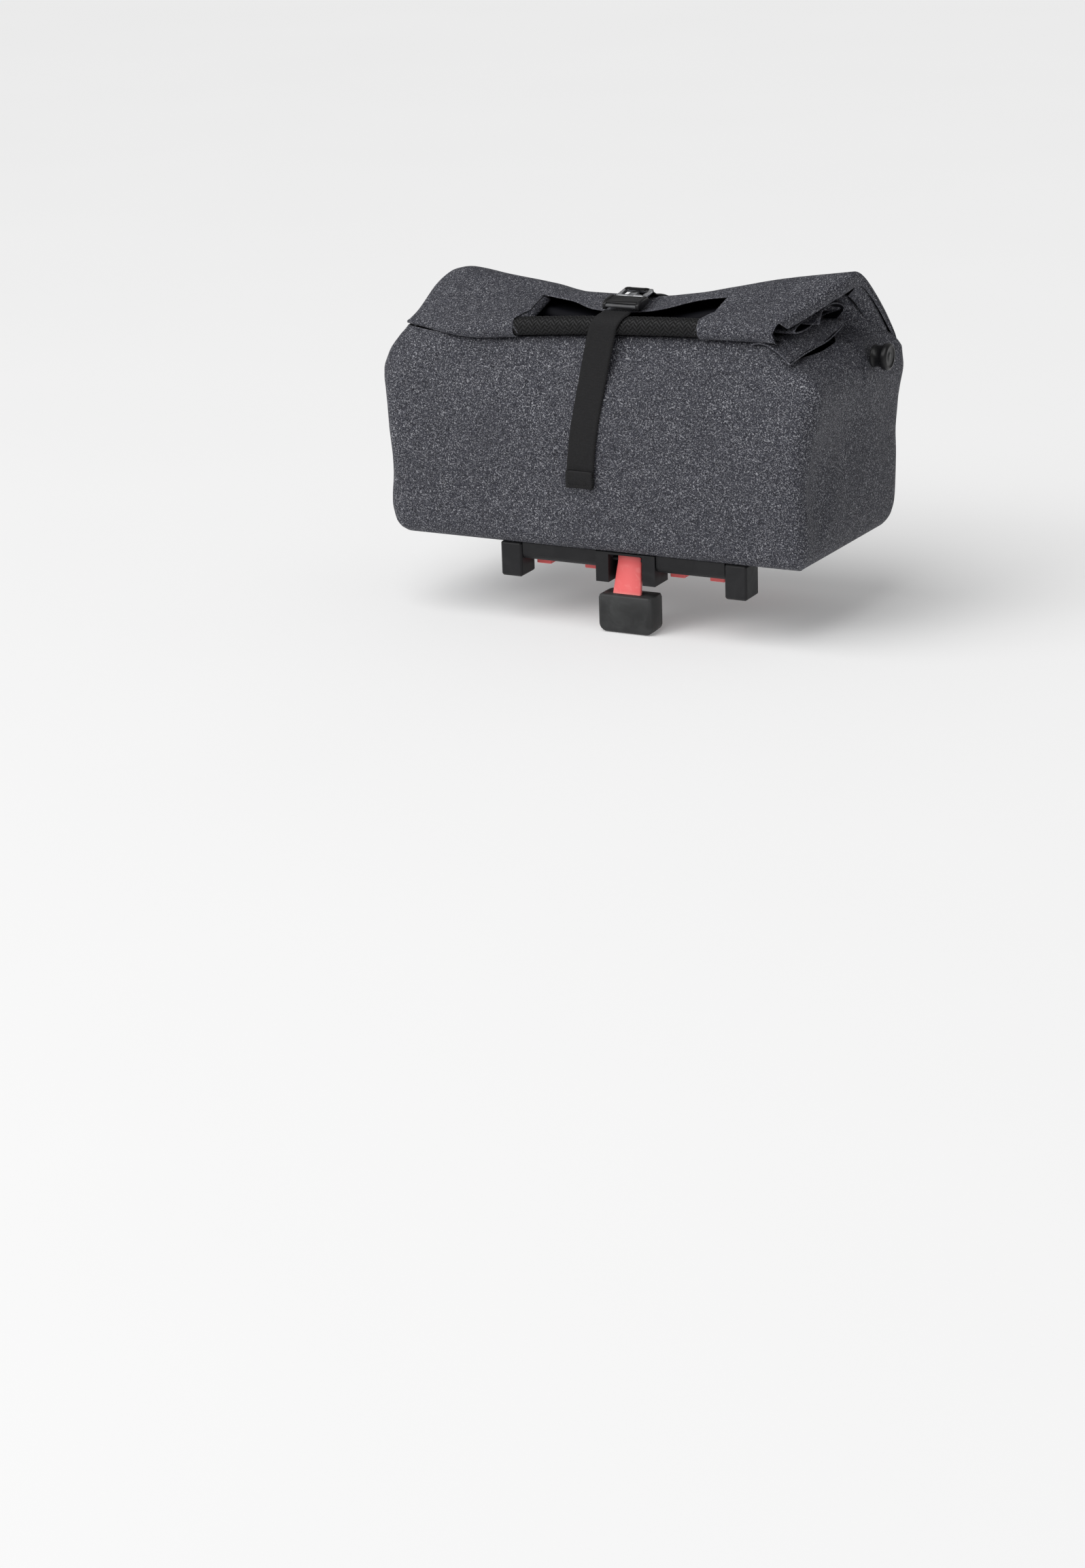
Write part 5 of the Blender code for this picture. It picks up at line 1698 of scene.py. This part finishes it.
@dataclass
class EndKnob:
    """Mushroom knob on the rear end panel that side straps hook over."""

    form: BagForm
    looks: Finishes
    y: float = 0.0170
    height: float = 0.1390
    profile: Table = (
        (0.0000, 0.0082), (0.0005, 0.0083), (0.0012, 0.0080), (0.0021, 0.0077), (0.0040, 0.0076),
        (0.0062, 0.0077), (0.0069, 0.0080), (0.0074, 0.0091), (0.0080, 0.0096), (0.0090, 0.0097),
        (0.0112, 0.0097), (0.0121, 0.0094), (0.0127, 0.0087), (0.0128, 0.0079), (0.0123, 0.0074),
        (0.0119, 0.0060), (0.0119, 0.0034), (0.0123, 0.0028), (0.0124, 0.0012),
    )

    def build(self) -> None:
        """Make the knob."""
        form = self.form
        panel = form.rear_x - form.inset(self.height, Vector((1, 0, 0)))
        z = form.floor_z + self.height
        rings = []
        for reach, radius in self.profile:
            ring = []
            for step in range(48):
                turn = math.tau * step / 48
                y = self.y + radius * math.cos(turn)
                ring.append(Vector((panel + TOUCH + reach, y, z + radius * math.sin(turn))))
            rings.append(ring)
        made = Workshop.loft("strap_knob", rings, self.looks.buckle, 50.0)
        Workshop.settle(made, Slot.BLACK, nodes=("end_knob",))


@dataclass
class ReleaseLever:
    """Red release lever and the dark grip at its foot."""

    looks: Finishes
    middle_x: float = 0.0030
    head_z: float = 0.0178
    foot_z: float = -0.0112
    head_y: float = -0.0678
    lean: float = 0.0060
    thickness: float = 0.0036
    head_width: float = 0.0190
    foot_width: float = 0.0226
    head_round: float = 0.0030
    blade_corner: float = 0.0008
    grip_corner: float = 0.0062
    grip_width: float = 0.0440
    grip_height: float = 0.0290
    grip_depth: float = 0.0200
    grip_face: float = -0.0770

    def blade(self) -> None:
        """Make the lever's blade, a tapered plate with rounded head corners."""
        rings = []
        for step in range(25):
            share = step / 24
            z = lerp(self.foot_z, self.head_z, share)
            width = lerp(self.foot_width, self.head_width, min(1.0, share * 1.25))
            below = max(0.0, self.head_round - (self.head_z - z))
            width -= 2 * (self.head_round - math.sqrt(max(0.0, self.head_round ** 2 - below ** 2)))
            y = self.head_y - self.lean * max(0.0, 1 - share * 1.25)
            half, corner, thick = width / 2, self.blade_corner, self.thickness
            section = (
                (-half, corner), (-half + corner, 0), (half - corner, 0), (half, corner),
                (half, thick - corner), (half - corner, thick), (-half + corner, thick),
                (-half, thick - corner),
            )
            rings.append([Vector((self.middle_x + a, y + b, z)) for a, b in section])
        made = Workshop.loft("lever_blade", rings, self.looks.red, 50.0)
        Workshop.settle(made, Slot.RED, Body.LEVER, ("release_lever",))

    def grip(self) -> None:
        """Make the grip, a rounded block with a soft face and a lip at its top."""
        rings = []
        top = self.foot_z - TOUCH
        low = top - self.grip_height
        half = self.grip_width / 2
        corner = self.grip_corner
        depth = self.grip_depth
        sections = ((0.0, 0.0016), (0.0006, 0.0006), (0.0016, 0.0), (0.5 * depth, 0.0), (0.9 * depth, 0.0003),
                    (0.97 * depth, 0.0010), (depth, 0.0022))
        for reach, inset in sections:
            y = self.grip_face + reach
            outline = [(-half + inset, top - 0.0034), (-half + 0.0010 + inset, top - 0.0010)]
            outline += [(-half + 0.0036, top - inset), (half - 0.0036, top - inset)]
            outline += [(half - 0.0010 - inset, top - 0.0010), (half - inset, top - 0.0034)]
            for start, centre_x in ((0, half - corner), (-90, -half + corner)):
                for step in range(9):
                    turn = math.radians(start - 90 * step / 8)
                    radius = corner - inset
                    z = low + corner + radius * math.sin(turn)
                    outline.append((centre_x + radius * math.cos(turn), z))
            rings.append([Vector((self.middle_x + a, y, z)) for a, z in outline])
        made = Workshop.loft("lever_grip", rings, self.looks.grip, 35.0)
        Workshop.settle(made, Slot.GRIP, Body.LEVER, ("grip_block",))

    def build(self) -> None:
        """Make the blade and the grip."""
        self.blade()
        self.grip()


@dataclass
class RackAdapter:
    """Clamp-on adapter, which keeps its solids."""

    looks: Finishes
    solids: dict[str, Piece]

    def build(self) -> None:
        """Round the edges of the solids and give them their finishes."""
        plans: dict[str, tuple[Material, float]] = {
            "leg": (self.looks.black, 0.0014),
            "rail": (self.looks.black, 0.0008),
            "base_plate": (self.looks.black, 0.0006),
            "lever_housing": (self.looks.black, 0.0010),
            "housing_bridge": (self.looks.black, 0.0006),
            "pad": (self.looks.red, 0.0008),
            "lever_pin": (self.looks.black, 0.0002),
        }
        for name, node in sorted(self.solids.items()):
            if node.hide_render:
                continue
            material, width = next(plan for key, plan in plans.items() if name.startswith(key))
            node.data.materials.clear()
            node.data.materials.append(material)
            Workshop.soften(node, width)
            LOG.info("%s keeps its solid, finished as %s", name, material.name)


@dataclass
class Studio:
    """Pale floor, soft lights and the camera of the photograph."""

    position: tuple[float, float, float] = (1.0940, -2.2806, 0.6963)
    right: tuple[float, float, float] = (0.88875, 0.45734, -0.03104)
    up: tuple[float, float, float] = (-0.12378, 0.30463, 0.94439)
    back: tuple[float, float, float] = (0.44136, -0.83549, 0.32735)
    lens: float = 80.0
    sensor: float = 36.0
    floor_z: float = -0.0408
    floor_size: float = 12.0
    floor_glow: float = 0.19
    sun_power: float = 1.88
    sun_spread: float = 60.0
    sun_turn: tuple[float, float] = (32.0, -16.0)
    key_place: tuple[float, float, float] = (-1.2, -2.6, 1.7)
    key_size: tuple[float, float] = (1.5, 1.2)
    key_power: float = 19.0
    world_power: float = 0.30

    def camera(self) -> None:
        """Make the camera."""
        data = bpy.data.cameras.new("camera")
        data.sensor_fit = "AUTO"
        data.sensor_width = self.sensor
        data.lens = self.lens
        data.clip_start = 0.05
        data.clip_end = 60.0
        made = bpy.data.objects.new("camera", data)
        turn = Matrix((self.right, self.up, self.back)).transposed().to_4x4()
        made.matrix_world = Matrix.Translation(self.position) @ turn
        bpy.context.scene.collection.objects.link(made)
        bpy.context.scene.camera = made

    def floor(self) -> None:
        """Make the floor."""
        half = self.floor_size
        points = [Vector((a * half, b * half, self.floor_z)) for a, b in ((-1, -1), (1, -1), (1, 1), (-1, 1))]
        shader = Shader("pale_floor")
        tone = shader.grain(shader.place(), 3.0, 2.0)
        colour = shader.blend(tone, (0.80, 0.80, 0.80), (0.82, 0.82, 0.82))
        shader.surface.inputs["Emission Color"].default_value = (1.0, 1.0, 1.0, 1.0)
        paint = shader.finish(colour, 0.9, Specular_IOR_Level=0.1, Emission_Strength=self.floor_glow)
        made = Workshop.piece("floor", points, [(0, 1, 2, 3)], [paint])

    def light(self, name: str, place: tuple[float, float, float], size: tuple[float, float],
              power: float) -> None:
        """Make one soft area light that faces the bag.

        Args:
            name: Name of the light.
            place: Where it stands.
            size: Its two widths.
            power: Its power in watts.
        """
        data = bpy.data.lights.new(name, "AREA")
        data.shape = "RECTANGLE"
        data.size, data.size_y = size
        data.energy = power
        made = bpy.data.objects.new(name, data)
        made.location = place
        aim = Vector((0.0, 0.0, 0.11)) - Vector(place)
        made.rotation_euler = aim.to_track_quat("-Z", "Y").to_euler()
        bpy.context.scene.collection.objects.link(made)

    def sky_panel(self) -> None:
        """Make one wide, even light over the whole floor."""
        data = bpy.data.lights.new("sky_panel", "SUN")
        data.energy = self.sun_power
        data.angle = math.radians(self.sun_spread)
        made = bpy.data.objects.new("sky_panel", data)
        made.rotation_euler = (math.radians(self.sun_turn[0]), math.radians(self.sun_turn[1]), 0)
        bpy.context.scene.collection.objects.link(made)

    def build(self) -> None:
        """Make the studio."""
        self.camera()
        self.floor()
        self.sky_panel()
        self.light("key", self.key_place, self.key_size, self.key_power)
        world = bpy.data.worlds.new("studio")
        world.use_nodes = True
        background = world.node_tree.nodes["Background"]
        background.inputs["Color"].default_value = (1.0, 1.0, 1.0, 1.0)
        background.inputs["Strength"].default_value = self.world_power
        bpy.context.scene.world = world
        bpy.context.scene.view_settings.view_transform = "Standard"


def main() -> None:
    """Load the frame, build each sub-assembly around it and set up the studio."""
    logging.basicConfig(level=logging.INFO, format="%(message)s")
    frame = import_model()
    for old in [thing for thing in bpy.data.objects if thing.type in ("CAMERA", "LIGHT")]:
        bpy.data.objects.remove(old, do_unlink=True)
    looks = Finishes()
    form = BagForm()
    studio = Studio()
    studio.build()
    BagWalls(form, looks).build()
    RolledTop(form, looks).build()
    Mouth(form, looks).build()
    GrabHandle(form, looks).build()
    strap = FrontStrap(form, looks)
    strap.build()
    Closure(form, looks, strap).build()
    EndKnob(form, looks).build()
    ReleaseLever(looks).build()
    RackAdapter(looks, frame["nodes"]).build()


if __name__ == "__main__":
    main()
